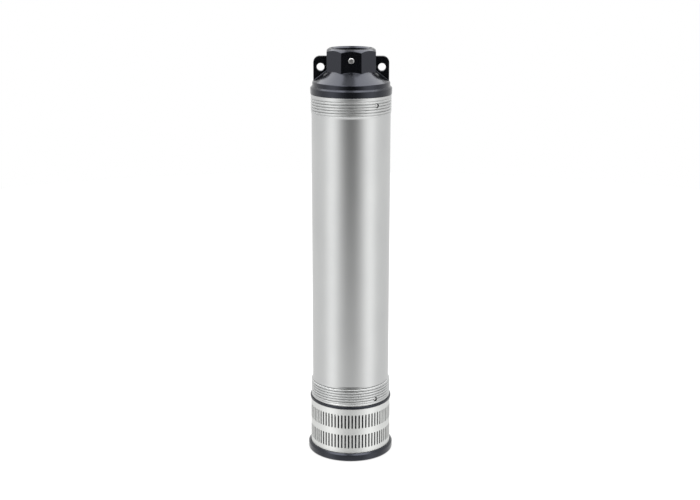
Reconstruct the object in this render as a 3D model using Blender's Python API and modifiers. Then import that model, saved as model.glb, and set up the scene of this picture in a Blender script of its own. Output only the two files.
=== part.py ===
# Borehole submersible pump with its suction strainer at the bottom and its motor inside the shell.
# Water enters through the slotted strainer, rises through three impeller stages, flows round the
# motor can and leaves through the check valve and the threaded port in the head.
# The pump stands on its foot: +Z is up, the pump's axis is Z, and -Y is the front.

import math

import bmesh
import bpy
from mathutils import Matrix, Vector

MM = 0.001

# Gaps
SEAT_GAP = 0.3 * MM  # between pieces that touch in the real pump
RUNNING_GAP = 0.7 * MM  # between a turning piece and a standing one
BITE = 0.5 * MM  # how far one shape sinks into the next before both become one casting

# Stainless shell, with a raised band at each end that holds the rolled thread
SHELL_RADIUS = 44.0 * MM
SHELL_WALL = 0.9 * MM
SHELL_LENGTH = 352.6 * MM
UPPER_BAND_STEP = 0.8 * MM  # thread crest outside the plain tube
LOWER_BAND_STEP = 1.7 * MM
BAND_HEIGHT = 22.0 * MM
BAND_RUNOUT = 1.2 * MM

# Slotted strainer
STRAINER_STEP = 2.2 * MM  # strainer outside the plain shell
STRAINER_WALL = 0.9 * MM
STRAINER_LENGTH = 59.4 * MM
SLOT_COUNT = 72
SLOT_WIDTH = 1.8 * MM
SLOT_LENGTH = 16.7 * MM
SLOT_FIRST = 11.6 * MM  # lower row above the strainer's bottom edge
SLOT_ROW_PITCH = 24.2 * MM

# Foot
FOOT_RIM = 2.7 * MM  # thickness of the rim round the strainer
FOOT_HEIGHT = 9.1 * MM
FOOT_FLOOR = 3.0 * MM
FOOT_ROUNDING = 1.6 * MM
FOOT_UPSTAND = 8.0 * MM  # height of the ring inside the strainer
FOOT_UPSTAND_WALL = 3.0 * MM
FOOT_SCREW_SINK = 1.6 * MM  # depth of the countersink for a screw head

# Suction base
FLANGE_STEP = 0.9 * MM  # flange outside the strainer
FLANGE_THICKNESS = 2.9 * MM
BASE_SPIGOT = 18.0 * MM  # reach into the shell
BASE_SKIRT = 5.0 * MM  # reach into the strainer
BASE_WALL = 4.0 * MM
BASE_FLOOR = 5.0 * MM
EYE_FLARE = 4.0 * MM
LEG_RADIUS = 5.0 * MM
LEG_COUNT = 3
LEG_INSET = 3.0 * MM  # leg clear of the skirt
TIE_SCREW_RADIUS = 1.6 * MM
TIE_SCREW_LENGTH = 22.0 * MM
TIE_HEAD_RADIUS = 3.4 * MM
TIE_HEAD_HEIGHT = 1.3 * MM

# Rings of rubber
RING_GROOVE_DEPTH = 2.3 * MM
RING_GROOVE_WIDTH = 3.2 * MM
RING_GROOVE_INSET = 12.0 * MM  # groove from the flange or collar

# Pump stages
STAGE_COUNT = 3
STAGE_PITCH = 25.0 * MM
BOWL_WALL = 3.4 * MM
BOWL_FLOOR = 2.5 * MM
BOWL_SHOULDER = 13.7 * MM  # seat of the diffuser above the bowl's bottom
BOWL_LEDGE = 2.0 * MM  # width of that seat
EYE_RADIUS = 15.0 * MM
IMPELLER_TIP_GAP = 5.4 * MM  # impeller clear of the bowl
IMPELLER_SKIRT_WALL = 1.8 * MM
IMPELLER_SKIRT = 3.4 * MM
IMPELLER_CHANNEL = 5.4 * MM
IMPELLER_SHROUD = 1.5 * MM
IMPELLER_VANES = 5
IMPELLER_WRAP = math.radians(70)
VANE_THICKNESS = 1.6 * MM
VANE_EASE = 0.8  # a power below 1 turns a vane most near its root
HUB_WALL = 2.5 * MM
HUB_PROUD = 1.0 * MM  # hub above the back shroud
DIFFUSER_PLATE = 2.0 * MM
DIFFUSER_VANES = 5
DIFFUSER_WRAP = math.radians(-60)
DIFFUSER_WINDOW_RADIUS = 3.4 * MM

# Shaft
SHAFT_RADIUS = 6.0 * MM
SEAL_JOURNAL_STEP = 1.0 * MM
LOWER_JOURNAL_STEP = 2.5 * MM
UPPER_JOURNAL_STEP = 1.5 * MM
ROTOR_SEAT_STEP = 4.0 * MM
NUT_HEIGHT = 6.5 * MM
NUT_RADIUS = 9.2 * MM
SHAFT_END = 2.0 * MM  # shaft below its nut

# Mechanical seal and bearings
SEAL_HEAD_WALL = 5.0 * MM
SEAL_HEAD_HEIGHT = 7.2 * MM
SEAL_SEAT_WALL = 5.0 * MM
SEAL_SEAT_HEIGHT = 4.7 * MM
SEAL_CHAMBER_LIP = 1.0 * MM
LOWER_BEARING_RADIUS = 20.0 * MM
LOWER_BEARING_WIDTH = 12.0 * MM
UPPER_BEARING_RADIUS = 17.5 * MM
UPPER_BEARING_WIDTH = 11.0 * MM
BEARING_RACE = 3.7 * MM  # thickness of an inner ring

# Motor
CAN_GAP = 6.4 * MM  # water passage between the can and the shell
CAN_WALL = 0.8 * MM
BRACKET_FLANGE = 6.0 * MM
BRACKET_WALL = 4.0 * MM
BRACKET_SPIGOT = 8.0 * MM  # reach into the can
BRACKET_WINDOWS = 6
BRACKET_WINDOW_LENGTH = 15.0 * MM
BRACKET_RIM = 1.8 * MM  # metal outside the windows
OIL_CHAMBER = 4.5 * MM  # height between the seal and the lower bearing
WINDING_CLEARANCE = 4.0 * MM
WINDING_HEIGHT = 14.0 * MM
WINDING_ROUNDING = 3.0 * MM
AIR_GAP = 0.5 * MM
ROTOR_SHIFT = 2.8 * MM  # rotor's face inside the middle between its shaft and the can
ROTOR_RING = 4.0 * MM  # height of the cast ring at each end of the rotor
ROTOR_RING_INSET = 1.2 * MM
STATOR_SLOTS = 12
STATOR_SLOT_WIDTH = 3.2 * MM
STATOR_SLOT_DEPTH = 7.0 * MM
STATOR_BACK = 3.5 * MM  # winding clear of the can
UPPER_BRACKET_PLATE = 2.7 * MM
UPPER_BRACKET_RIM = 4.0 * MM
CAPACITOR_PASSAGE = 16.6 * MM  # room round the capacitor for the leads
CAPACITOR_LENGTH = 44.0 * MM
CAP_PLUG = 8.0 * MM
CAP_FLANGE = 4.0 * MM
CAP_RIBS = 3
CAP_RIB_HEIGHT = 10.0 * MM
CAP_RIB_WIDTH = 5.0 * MM
LEAD_RADIUS = 3.6 * MM
LEAD_NUT_RADIUS = 8.0 * MM
LEAD_NUT_HEIGHT = 6.0 * MM

# Discharge head
HEAD_SPIGOT = 20.0 * MM  # reach into the shell
HEAD_WALL = 4.0 * MM
COLLAR_STEP = 1.4 * MM  # collar outside the plain shell
COLLAR_DRAFT = 0.5 * MM
COLLAR_HEIGHT = 8.3 * MM
COLLAR_ROUNDING = 0.9 * MM
SHOULDER_STEP = 2.2 * MM  # dome's edge inside the collar
SHOULDER_HEIGHT = 5.9 * MM  # from the collar to where the dome's cone would meet its side
DOME_RISE = 11.3 * MM
DOME_ROUNDING = 4.0 * MM
NECK_HEIGHT = 24.3 * MM
PORT_SIDES = 8
PORT_RADIUS = 20.2 * MM  # thread's inner radius
PORT_WALL = 6.8 * MM  # thread to the flats
PORT_MOUTH = 2.9 * MM  # chamfer at the mouth
PORT_CHAMFER = 2.4 * MM  # turned chamfer on the corners
PORT_CHAMFER_SLOPE = 0.75
LUG_THICKNESS = 7.0 * MM
LUG_INSET = 1.4 * MM  # lug's edge inside the dome's edge
LUG_TOP_DROP = 8.5 * MM  # lug's top below the rim
LUG_ROUNDING = 7.0 * MM
LUG_HOLE_RADIUS = 4.25 * MM
LUG_HOLE_INSET = 8.0 * MM
LUG_HOLE_DROP = 12.0 * MM
LOCK_SCREW_DROP = 11.7 * MM  # port lock screw below the rim
LOCK_SCREW_RADIUS = 1.7 * MM
LOCK_HEAD_RADIUS = 3.3 * MM
LOCK_HEAD_HEIGHT = 1.7 * MM
GLAND_BOSS_RADIUS = 7.6 * MM
GLAND_BOSS_RISE = 10.8 * MM  # boss above the dome's outer edge
GLAND_SHIFT = 0.4 * MM  # gland outside the middle between the port's flat and the dome's edge
GLAND_SEAT_DEPTH = 9.0 * MM
GROMMET_WALL = 2.2 * MM
GLAND_NUT_HEIGHT = 7.0 * MM

# Screws that lock the shell to the head and to the suction base
SHELL_SCREW_RADIUS = 1.4 * MM
SHELL_SCREW_HEAD = 2.7 * MM
SHELL_SCREW_HEAD_HEIGHT = 0.6 * MM
SHELL_SCREW_TURN = math.radians(39)  # to the right of the front
UPPER_SCREW_DROP = 8.7 * MM  # below the shell's upper edge
LOWER_SCREW_RISE = 3.4 * MM  # above the shell's lower edge
SHELL_SCREW_BITE = 3.0 * MM  # reach into the plastic
HEAD_FLAT_SHARE = 0.7  # of a screw head's radius
HEAD_EDGE_SHARE = 0.5  # of its height

# Check valve
VALVE_SEAT_RADIUS = 14.0 * MM
VALVE_SEAT_HEIGHT = 6.0 * MM  # seat's face above the collar's bottom
VALVE_DISC_OVERLAP = 2.4 * MM
VALVE_DISC_THICKNESS = 3.0 * MM
VALVE_SEAL_THICKNESS = 1.4 * MM
VALVE_SEAL_WIDTH = 3.6 * MM
VALVE_CHAMBER_GAP = 2.1 * MM  # water passage round the disc
VALVE_STEM_RADIUS = 2.8 * MM
VALVE_LIFT = 7.0 * MM
GUIDE_HEIGHT = 3.0 * MM
GUIDE_RIM = 2.2 * MM
GUIDE_HUB_WALL = 2.2 * MM
GUIDE_HUB_DROP = 1.5 * MM
GUIDE_RIBS = 3
GUIDE_RIB_WIDTH = 2.4 * MM
SPRING_WIRE = 0.6 * MM
SPRING_RADIUS = 6.4 * MM
SPRING_TURNS = 3
SPRING_STEPS = 10  # points in a turn
SPRING_CLOSED_PITCH = 1.32 * MM  # one wire above the next in a closed turn
SPRING_SOLID = 5.6 * MM  # height that the closed coils need
SNAP_GROOVE_DEPTH = 0.9 * MM
SNAP_RING_THICKNESS = 1.2 * MM

# Facets
LARGE = 32
MEDIUM = 16
SMALL = 12
LEAST = 8  # screws and their holes
IMPELLER_VANE_STEPS = 3  # flat lengths in a blade
DIFFUSER_VANE_STEPS = 2
HEX = 6
LUG_HOLE_FACETS = 20
LUG_CORNER_STEPS = 6
ROUNDING_STEPS = 3
SHARP_ANGLE = math.radians(35)  # a larger angle between two faces is a sharp edge
FLAT_ANGLE = math.radians(0.1)  # faces that turn by less than this lie in one plane

# Radii that follow
shell_bore = SHELL_RADIUS - SHELL_WALL
upper_crest = SHELL_RADIUS + UPPER_BAND_STEP
lower_crest = SHELL_RADIUS + LOWER_BAND_STEP
inner_radius = shell_bore - SEAT_GAP  # spigots, bowls and the bracket's flange
bowl_bore = inner_radius - BOWL_WALL
impeller_radius = bowl_bore - IMPELLER_TIP_GAP
strainer_radius = SHELL_RADIUS + STRAINER_STEP
strainer_bore = strainer_radius - STRAINER_WALL
skirt_radius = strainer_bore - SEAT_GAP
leg_circle = skirt_radius - BASE_WALL - LEG_INSET - LEG_RADIUS
flange_radius = strainer_radius + FLANGE_STEP
foot_radius = strainer_radius + SEAT_GAP + FOOT_RIM
collar_radius = SHELL_RADIUS + COLLAR_STEP
dome_radius = collar_radius - SHOULDER_STEP
port_flat = PORT_RADIUS + PORT_WALL
port_corner = port_flat / math.cos(math.pi / PORT_SIDES)
can_radius = shell_bore - CAN_GAP
can_bore = can_radius - CAN_WALL
plug_radius = can_bore - SEAT_GAP
sleeve_bore = SHAFT_RADIUS + SEAT_GAP
hub_radius = sleeve_bore + HUB_WALL
seal_journal = SHAFT_RADIUS + SEAL_JOURNAL_STEP
lower_journal = SHAFT_RADIUS + LOWER_JOURNAL_STEP
upper_journal = SHAFT_RADIUS + UPPER_JOURNAL_STEP
rotor_seat = SHAFT_RADIUS + ROTOR_SEAT_STEP
rotor_radius = (rotor_seat + plug_radius) / 2 - ROTOR_SHIFT
stator_bore = rotor_radius + AIR_GAP
capacitor_radius = plug_radius - BRACKET_WALL - CAPACITOR_PASSAGE

# Heights that follow
z_strainer = FOOT_FLOOR + SEAT_GAP
z_flange = z_strainer + STRAINER_LENGTH + SEAT_GAP
z_shell = z_flange + FLANGE_THICKNESS + SEAT_GAP
z_shell_top = z_shell + SHELL_LENGTH
z_stack = z_flange + FLANGE_THICKNESS + BASE_SPIGOT + SEAT_GAP
z_bracket = z_stack + STAGE_COUNT * STAGE_PITCH
z_collar = z_shell_top + SEAT_GAP
z_head = z_collar - HEAD_SPIGOT
z_cap_flange = z_head - SEAT_GAP - CAP_RIB_HEIGHT - CAP_FLANGE
z_cap = z_cap_flange - CAP_PLUG
z_can = z_bracket + BRACKET_FLANGE + SEAT_GAP
can_length = z_cap_flange - SEAT_GAP - z_can
hub_bottom = IMPELLER_SKIRT + IMPELLER_SHROUD + IMPELLER_CHANNEL
hub_top = hub_bottom + IMPELLER_SHROUD + HUB_PROUD

seal_seat_floor = SEAL_CHAMBER_LIP + SEAL_HEAD_HEIGHT + SEAT_GAP
bearing_floor = seal_seat_floor + SEAL_SEAT_HEIGHT + SEAT_GAP + OIL_CHAMBER
bracket_height = bearing_floor + SEAT_GAP + LOWER_BEARING_WIDTH
z_lower_bearing = z_bracket + bearing_floor + SEAT_GAP
z_lower_winding = z_bracket + bracket_height + WINDING_CLEARANCE
z_core = z_lower_winding + WINDING_HEIGHT + SEAT_GAP
z_capacitor = z_cap - SEAT_GAP - CAPACITOR_LENGTH
upper_bracket_height = UPPER_BEARING_WIDTH + SEAT_GAP + UPPER_BRACKET_PLATE
z_upper_bracket = z_capacitor - SEAT_GAP - upper_bracket_height
z_upper_winding = z_upper_bracket - WINDING_CLEARANCE - WINDING_HEIGHT
core_length = z_upper_winding - SEAT_GAP - z_core

z_dome = COLLAR_HEIGHT + SHOULDER_HEIGHT  # above the collar's bottom, as the next two are
z_neck = z_dome + DOME_RISE
z_rim = z_neck + NECK_HEIGHT
valve_disc_radius = VALVE_SEAT_RADIUS + VALVE_DISC_OVERLAP
chamber_radius = valve_disc_radius + VALVE_CHAMBER_GAP
snap_groove_radius = PORT_RADIUS + SNAP_GROOVE_DEPTH
z_valve = VALVE_SEAT_HEIGHT + SEAT_GAP + VALVE_SEAL_THICKNESS + SEAT_GAP
z_spring = z_valve + VALVE_DISC_THICKNESS + SEAT_GAP
spring_length = VALVE_LIFT + SPRING_SOLID
z_guide = z_spring + spring_length + SEAT_GAP + GUIDE_HUB_DROP
z_snap_ring = z_guide + GUIDE_HEIGHT + SEAT_GAP


def make_collection(name):
    collection = bpy.data.collections.new(name)
    bpy.context.scene.collection.children.link(collection)
    return collection


def make_material(name, colour, roughness, metallic):
    material = bpy.data.materials.new(name)
    material.use_nodes = True
    shader = material.node_tree.nodes["Principled BSDF"]
    shader.inputs["Base Color"].default_value = (*colour, 1.0)
    shader.inputs["Roughness"].default_value = roughness
    shader.inputs["Metallic"].default_value = metallic
    return material


def add_object(name, mesh, material=None, parent=None, height=0.0):
    # An object without a material is a cutter or a shape that is joined to a piece.
    obj = bpy.data.objects.new(name, mesh)
    (pieces if material else helpers).objects.link(obj)
    if material:
        mesh.materials.append(material)
    else:
        obj.hide_render = True
        obj.display_type = "WIRE"
    obj.parent = parent
    obj.location.z = height
    return obj


def turned(name, profile, facets, material=None, parent=None, height=0.0):
    # The profile is (radius, height) points that run down the outer side. One that starts and ends
    # on the axis makes a solid, and any other is closed into a ring.
    mesh = bpy.data.meshes.new(name)
    points = [(radius, 0.0, z) for radius, z in profile]
    edges = [(i, i + 1) for i in range(len(points) - 1)]
    if profile[0][0] > 0:
        edges.append((len(points) - 1, 0))
    mesh.from_pydata(points, edges, [])
    obj = add_object(name, mesh, material, parent, height)
    screw = obj.modifiers.new("turn", "SCREW")
    screw.axis = "Z"
    screw.steps = screw.render_steps = facets
    screw.use_merge_vertices = True
    screw.merge_threshold = 0.000005
    return obj


def ring_profile(outer, inner, top, bottom=0.0):
    return [(outer, top), (outer, bottom), (inner, bottom), (inner, top)]


def rod_profile(radius, top, bottom=0.0):
    return [(0.0, top), (radius, top), (radius, bottom), (0.0, bottom)]


def prism(name, radius, top, bottom, facets, turn, centre, material=None, parent=None, height=0.0):
    # An upright prism or cylinder round the point centre, which is (x, y).
    mesh = bpy.data.meshes.new(name)
    shape = bmesh.new()
    middle = Matrix.Translation((centre[0], centre[1], (top + bottom) / 2))
    bmesh.ops.create_cone(
        shape, cap_ends=True, segments=facets, radius1=radius, radius2=radius,
        depth=top - bottom, matrix=middle @ Matrix.Rotation(turn, 4, "Z"),
    )
    shape.to_mesh(mesh)
    shape.free()
    return add_object(name, mesh, material, parent, height)


def boxes(name, count, centre_radius, size, middle, parent, turn=0.0):
    # Boxes of size (radial, tangential, vertical) round the axis, each in one mesh.
    mesh = bpy.data.meshes.new(name)
    shape = bmesh.new()
    for i in range(count):
        place = Matrix.Rotation(turn + 2 * math.pi * i / count, 4, "Z")
        place = place @ Matrix.Translation((centre_radius, 0, middle)) @ Matrix.Diagonal((*size, 1))
        bmesh.ops.create_cube(shape, size=1.0, matrix=place)
    shape.to_mesh(mesh)
    shape.free()
    return add_object(name, mesh, parent=parent)


def pins(name, count, circle, radius, top, bottom, parent, turn=0.0, facets=LEAST):
    # Upright cylinders on a circle round the axis, in one mesh.
    mesh = bpy.data.meshes.new(name)
    shape = bmesh.new()
    for i in range(count):
        place = Matrix.Rotation(turn + 2 * math.pi * i / count, 4, "Z")
        place = place @ Matrix.Translation((circle, 0, (top + bottom) / 2))
        bmesh.ops.create_cone(
            shape, cap_ends=True, segments=facets, radius1=radius, radius2=radius,
            depth=top - bottom, matrix=place,
        )
    shape.to_mesh(mesh)
    shape.free()
    return add_object(name, mesh, parent=parent)


def vanes(name, count, inner, outer, wrap, bottom, top, steps, parent):
    # Curved blades from the inner to the outer radius, which sweep through the angle wrap.
    mesh = bpy.data.meshes.new(name)
    shape = bmesh.new()
    for i in range(count):
        line = []
        for k in range(steps + 1):
            share = k / steps
            radius = inner + (outer - inner) * share
            angle = 2 * math.pi * i / count + wrap * share**VANE_EASE
            x, y = radius * math.cos(angle), radius * math.sin(angle)
            line.append((shape.verts.new((x, y, bottom)), shape.verts.new((x, y, top))))
        for (low, high), (next_low, next_high) in zip(line, line[1:]):
            shape.faces.new((low, next_low, next_high, high))
    shape.to_mesh(mesh)
    shape.free()
    obj = add_object(name, mesh, parent=parent)
    wall = obj.modifiers.new("wall", "SOLIDIFY")
    wall.thickness = VANE_THICKNESS
    wall.offset = 0.0
    return obj


def combine(obj, other, operation):
    boolean = obj.modifiers.new(f"{operation.lower()} {other.name}", "BOOLEAN")
    boolean.operation = operation
    boolean.object = other
    return obj


def cut(obj, *cutters):
    for cutter in cutters:
        combine(obj, cutter, "DIFFERENCE")
    return obj


def join(obj, *others):
    for other in others:
        combine(obj, other, "UNION")
    return obj


def aim(obj, direction, point):
    # Turns an object's +Z to the direction and puts its origin at the point.
    obj.rotation_euler = Vector(direction).to_track_quat("Z", "Y").to_euler()
    obj.location = point
    return obj


def screw_profile(head_radius, head_height, shank_radius, shank_length):
    # The underside of the head is at height 0 and the shank hangs below it.
    return [
        (0.0, head_height), (HEAD_FLAT_SHARE * head_radius, head_height),
        (head_radius, HEAD_EDGE_SHARE * head_height),
        (head_radius, 0.0), (shank_radius, 0.0), (shank_radius, -shank_length), (0.0, -shank_length),
    ]


def make_foot():
    # A shallow dish: its rim holds the strainer from outside and its upstand from inside.
    rim_bore = strainer_radius + SEAT_GAP
    inside = skirt_radius - FOOT_UPSTAND_WALL
    foot = turned("foot", [
        (0.0, FOOT_FLOOR), (inside, FOOT_FLOOR), (inside, FOOT_UPSTAND), (skirt_radius, FOOT_UPSTAND),
        (skirt_radius, FOOT_FLOOR), (rim_bore, FOOT_FLOOR), (rim_bore, FOOT_HEIGHT),
        (foot_radius - FOOT_ROUNDING, FOOT_HEIGHT), (foot_radius, FOOT_HEIGHT - FOOT_ROUNDING),
        (foot_radius, FOOT_ROUNDING), (foot_radius - FOOT_ROUNDING, 0.0), (0.0, 0.0),
    ], LARGE, black_plastic, frame)
    sink = FOOT_SCREW_SINK + SEAT_GAP
    holes = pins("foot_screw_holes", LEG_COUNT, leg_circle, TIE_SCREW_RADIUS + SEAT_GAP,
                 FOOT_FLOOR + BITE, -BITE, foot, leg_turn)
    sinks = pins("foot_screw_sinks", LEG_COUNT, leg_circle, TIE_HEAD_RADIUS + SEAT_GAP,
                 sink, -BITE, foot, leg_turn)
    return cut(foot, holes, sinks)


def make_strainer():
    # One facet for each pair of slots, with the slots in its middle.
    sleeve = turned("strainer", ring_profile(strainer_radius, strainer_bore, STRAINER_LENGTH),
                    SLOT_COUNT, slotted_steel, frame, z_strainer)
    half_facet = math.pi / SLOT_COUNT
    for row in range(2):
        middle = SLOT_FIRST + SLOT_LENGTH / 2 + row * SLOT_ROW_PITCH
        size = (4 * STRAINER_WALL, SLOT_WIDTH, SLOT_LENGTH)
        cut(sleeve, boxes(f"slot_row_{row + 1}", SLOT_COUNT, strainer_radius, size, middle,
                          sleeve, half_facet))
    return sleeve


def make_suction_base():
    bore = inner_radius - BASE_WALL
    top = FLANGE_THICKNESS + BASE_SPIGOT
    groove_top = FLANGE_THICKNESS + RING_GROOVE_INSET + RING_GROOVE_WIDTH
    groove_bottom = FLANGE_THICKNESS + RING_GROOVE_INSET
    groove_radius = inner_radius - RING_GROOVE_DEPTH
    base = turned("suction_base", [
        (inner_radius, top), (inner_radius, groove_top), (groove_radius, groove_top),
        (groove_radius, groove_bottom), (inner_radius, groove_bottom),
        (inner_radius, FLANGE_THICKNESS), (flange_radius, FLANGE_THICKNESS), (flange_radius, 0.0),
        (skirt_radius, 0.0), (skirt_radius, -BASE_SKIRT), (skirt_radius - BASE_WALL, -BASE_SKIRT),
        (skirt_radius - BASE_WALL, 0.0), (EYE_RADIUS + EYE_FLARE, 0.0),
        (EYE_RADIUS, EYE_FLARE), (EYE_RADIUS, BASE_FLOOR), (bore, BASE_FLOOR), (bore, top),
    ], LARGE, black_plastic, frame, z_flange)
    leg_bottom = FOOT_FLOOR + SEAT_GAP - z_flange
    legs = pins("suction_legs", LEG_COUNT, leg_circle, LEG_RADIUS, BITE, leg_bottom, base, leg_turn)
    pilots = pins("suction_leg_holes", LEG_COUNT, leg_circle, TIE_SCREW_RADIUS + SEAT_GAP,
                  leg_bottom + TIE_SCREW_LENGTH, leg_bottom - BITE, base, leg_turn)
    join(base, legs)
    cut(base, pilots)
    cut(base, shell_screw_hole("base_lock_hole", base, z_shell + LOWER_SCREW_RISE - z_flange))
    add_rubber_ring("base_o_ring", groove_radius, shell_bore, z_flange + groove_bottom, LARGE)
    return base


def add_rubber_ring(name, groove_radius, bore, z, facets):
    inner = groove_radius + SEAT_GAP
    outer = bore - SEAT_GAP
    centre = (inner + outer) / 2
    low = SEAT_GAP
    high = RING_GROOVE_WIDTH - SEAT_GAP
    return turned(name, [
        (outer, (low + high) / 2), (centre, low), (inner, (low + high) / 2), (centre, high),
    ], facets, rubber, frame, z)


def shell_screw_direction():
    return Vector((math.sin(SHELL_SCREW_TURN), -math.cos(SHELL_SCREW_TURN), 0.0))


def shell_screw_hole(name, parent, height):
    through = lower_crest - inner_radius + SEAT_GAP
    hole = turned(name, rod_profile(SHELL_SCREW_RADIUS + SEAT_GAP, through,
                                    -SHELL_SCREW_BITE - SEAT_GAP), LEAST, parent=parent)
    out = shell_screw_direction()
    return aim(hole, out, out * inner_radius + Vector((0, 0, height)))


def make_shell():
    top_band = SHELL_LENGTH - BAND_HEIGHT
    shell = turned("outer_shell", [
        (upper_crest, SHELL_LENGTH), (upper_crest, top_band), (SHELL_RADIUS, top_band - BAND_RUNOUT),
        (SHELL_RADIUS, BAND_HEIGHT + BAND_RUNOUT), (lower_crest, BAND_HEIGHT), (lower_crest, 0.0),
        (shell_bore, 0.0), (shell_bore, SHELL_LENGTH),
    ], LARGE, brushed_steel, frame, z_shell)
    add_shell_screw(shell, "upper", SHELL_LENGTH - UPPER_SCREW_DROP, upper_crest)
    add_shell_screw(shell, "lower", LOWER_SCREW_RISE, lower_crest)
    return shell


def add_shell_screw(shell, name, height, crest):
    cut(shell, shell_screw_hole(f"shell_{name}_hole", shell, height))
    seat = crest + SEAT_GAP
    reach = seat - inner_radius + SHELL_SCREW_BITE
    screw = turned(f"shell_lock_screw_{name}", screw_profile(
        SHELL_SCREW_HEAD, SHELL_SCREW_HEAD_HEIGHT, SHELL_SCREW_RADIUS, reach), LEAST, bright_steel, frame)
    out = shell_screw_direction()
    return aim(screw, out, out * seat + Vector((0, 0, z_shell + height)))


def make_tie_screws():
    for i in range(LEG_COUNT):
        angle = leg_turn + 2 * math.pi * i / LEG_COUNT
        place = Vector((math.cos(angle), math.sin(angle), 0.0)) * leg_circle
        place.z = FOOT_SCREW_SINK
        screw = turned(f"tie_screw_{i + 1}", screw_profile(
            TIE_HEAD_RADIUS, TIE_HEAD_HEIGHT, TIE_SCREW_RADIUS, TIE_SCREW_LENGTH - SEAT_GAP),
            LEAST, bright_steel, frame)
        aim(screw, (0, 0, -1), place)


def make_bowl(number, z):
    return turned(f"stage_bowl_{number}", [
        (inner_radius, STAGE_PITCH - SEAT_GAP), (inner_radius, 0.0),
        (EYE_RADIUS + RUNNING_GAP, 0.0), (EYE_RADIUS + RUNNING_GAP, BOWL_FLOOR),
        (bowl_bore - BOWL_LEDGE, BOWL_FLOOR), (bowl_bore - BOWL_LEDGE, BOWL_SHOULDER),
        (bowl_bore, BOWL_SHOULDER), (bowl_bore, STAGE_PITCH - SEAT_GAP),
    ], MEDIUM, moulded_grey, frame, z)


def make_diffuser(number, z):
    radius = bowl_bore - SEAT_GAP
    height = STAGE_PITCH - BOWL_SHOULDER - 2 * SEAT_GAP
    bore = hub_radius + RUNNING_GAP
    plate = turned(f"diffuser_{number}", ring_profile(radius, bore, DIFFUSER_PLATE), MEDIUM,
                   moulded_white, frame, z + BOWL_SHOULDER + SEAT_GAP)
    blades = vanes(f"diffuser_{number}_vanes", DIFFUSER_VANES, EYE_RADIUS + 2 * VANE_THICKNESS,
                   radius - VANE_THICKNESS, DIFFUSER_WRAP, DIFFUSER_PLATE - BITE, height,
                   DIFFUSER_VANE_STEPS, plate)
    half_step = math.pi / DIFFUSER_VANES
    windows = pins(f"diffuser_{number}_windows", DIFFUSER_VANES, radius, DIFFUSER_WINDOW_RADIUS,
                   height, -BITE, plate, DIFFUSER_WRAP + half_step, HEX)
    join(plate, blades)
    return cut(plate, windows)


def make_impeller(number, z):
    impeller = turned(f"impeller_{number}", [
        (hub_radius, hub_top), (hub_radius, hub_bottom + IMPELLER_SHROUD),
        (impeller_radius, hub_bottom + IMPELLER_SHROUD), (impeller_radius, hub_bottom),
        (sleeve_bore, hub_bottom), (sleeve_bore, hub_top),
    ], MEDIUM, moulded_white, rotor_axis, z)
    skirt_bore = EYE_RADIUS - IMPELLER_SKIRT_WALL
    front_top = IMPELLER_SKIRT + IMPELLER_SHROUD
    front = turned(f"impeller_{number}_front", [
        (impeller_radius, front_top), (impeller_radius, IMPELLER_SKIRT),
        (EYE_RADIUS, IMPELLER_SKIRT), (EYE_RADIUS, BITE), (skirt_bore, BITE),
        (skirt_bore, front_top),
    ], MEDIUM, parent=impeller)
    blades = vanes(f"impeller_{number}_vanes", IMPELLER_VANES, skirt_bore, impeller_radius - BITE,
                   IMPELLER_WRAP, front_top - BITE, hub_bottom + BITE, IMPELLER_VANE_STEPS, impeller)
    return join(impeller, blades, front)


def make_stages():
    for i in range(STAGE_COUNT):
        z = z_stack + i * STAGE_PITCH
        make_bowl(i + 1, z)
        make_diffuser(i + 1, z)
        make_impeller(i + 1, z)
        if i < STAGE_COUNT - 1:
            length = STAGE_PITCH - (hub_top - hub_bottom) - 2 * SEAT_GAP
            turned(f"spacer_sleeve_{i + 1}", ring_profile(hub_radius, sleeve_bore, length), SMALL,
                   bright_steel, rotor_axis, z + hub_top + SEAT_GAP)


def make_shaft():
    nut_top = z_stack + hub_bottom - SEAT_GAP
    bottom = nut_top - NUT_HEIGHT - SHAFT_END
    z_seal_step = z_bracket - SEAT_GAP
    z_lower_step = z_bracket + seal_seat_floor + SEAL_SEAT_HEIGHT + SEAT_GAP + OIL_CHAMBER / 2
    z_rotor_step = z_lower_bearing + LOWER_BEARING_WIDTH + SEAT_GAP
    z_upper_step = z_upper_bracket - SEAT_GAP
    top = z_upper_bracket + UPPER_BEARING_WIDTH
    turned("shaft", [
        (0.0, top), (upper_journal, top), (upper_journal, z_upper_step), (rotor_seat, z_upper_step),
        (rotor_seat, z_rotor_step), (lower_journal, z_rotor_step), (lower_journal, z_lower_step),
        (seal_journal, z_lower_step), (seal_journal, z_seal_step), (SHAFT_RADIUS, z_seal_step),
        (SHAFT_RADIUS, bottom), (0.0, bottom),
    ], SMALL, bright_steel, rotor_axis)
    nut = prism("impeller_nut", NUT_RADIUS, nut_top, nut_top - NUT_HEIGHT, HEX, 0.0, (0, 0),
                bright_steel, rotor_axis)
    return cut(nut, turned("impeller_nut_bore", rod_profile(sleeve_bore, nut_top + BITE,
                                                            nut_top - NUT_HEIGHT - BITE),
                           SMALL, parent=rotor_axis))


def make_seal():
    turned("seal_head", ring_profile(seal_journal + SEAT_GAP + SEAL_HEAD_WALL,
                                     seal_journal + SEAT_GAP, SEAL_HEAD_HEIGHT),
           SMALL, rubber, rotor_axis, z_bracket + SEAL_CHAMBER_LIP)
    bore = seal_journal + RUNNING_GAP
    turned("seal_seat", ring_profile(bore + SEAL_SEAT_WALL, bore, SEAL_SEAT_HEIGHT), MEDIUM, ceramic,
           frame, z_bracket + seal_seat_floor)


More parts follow.
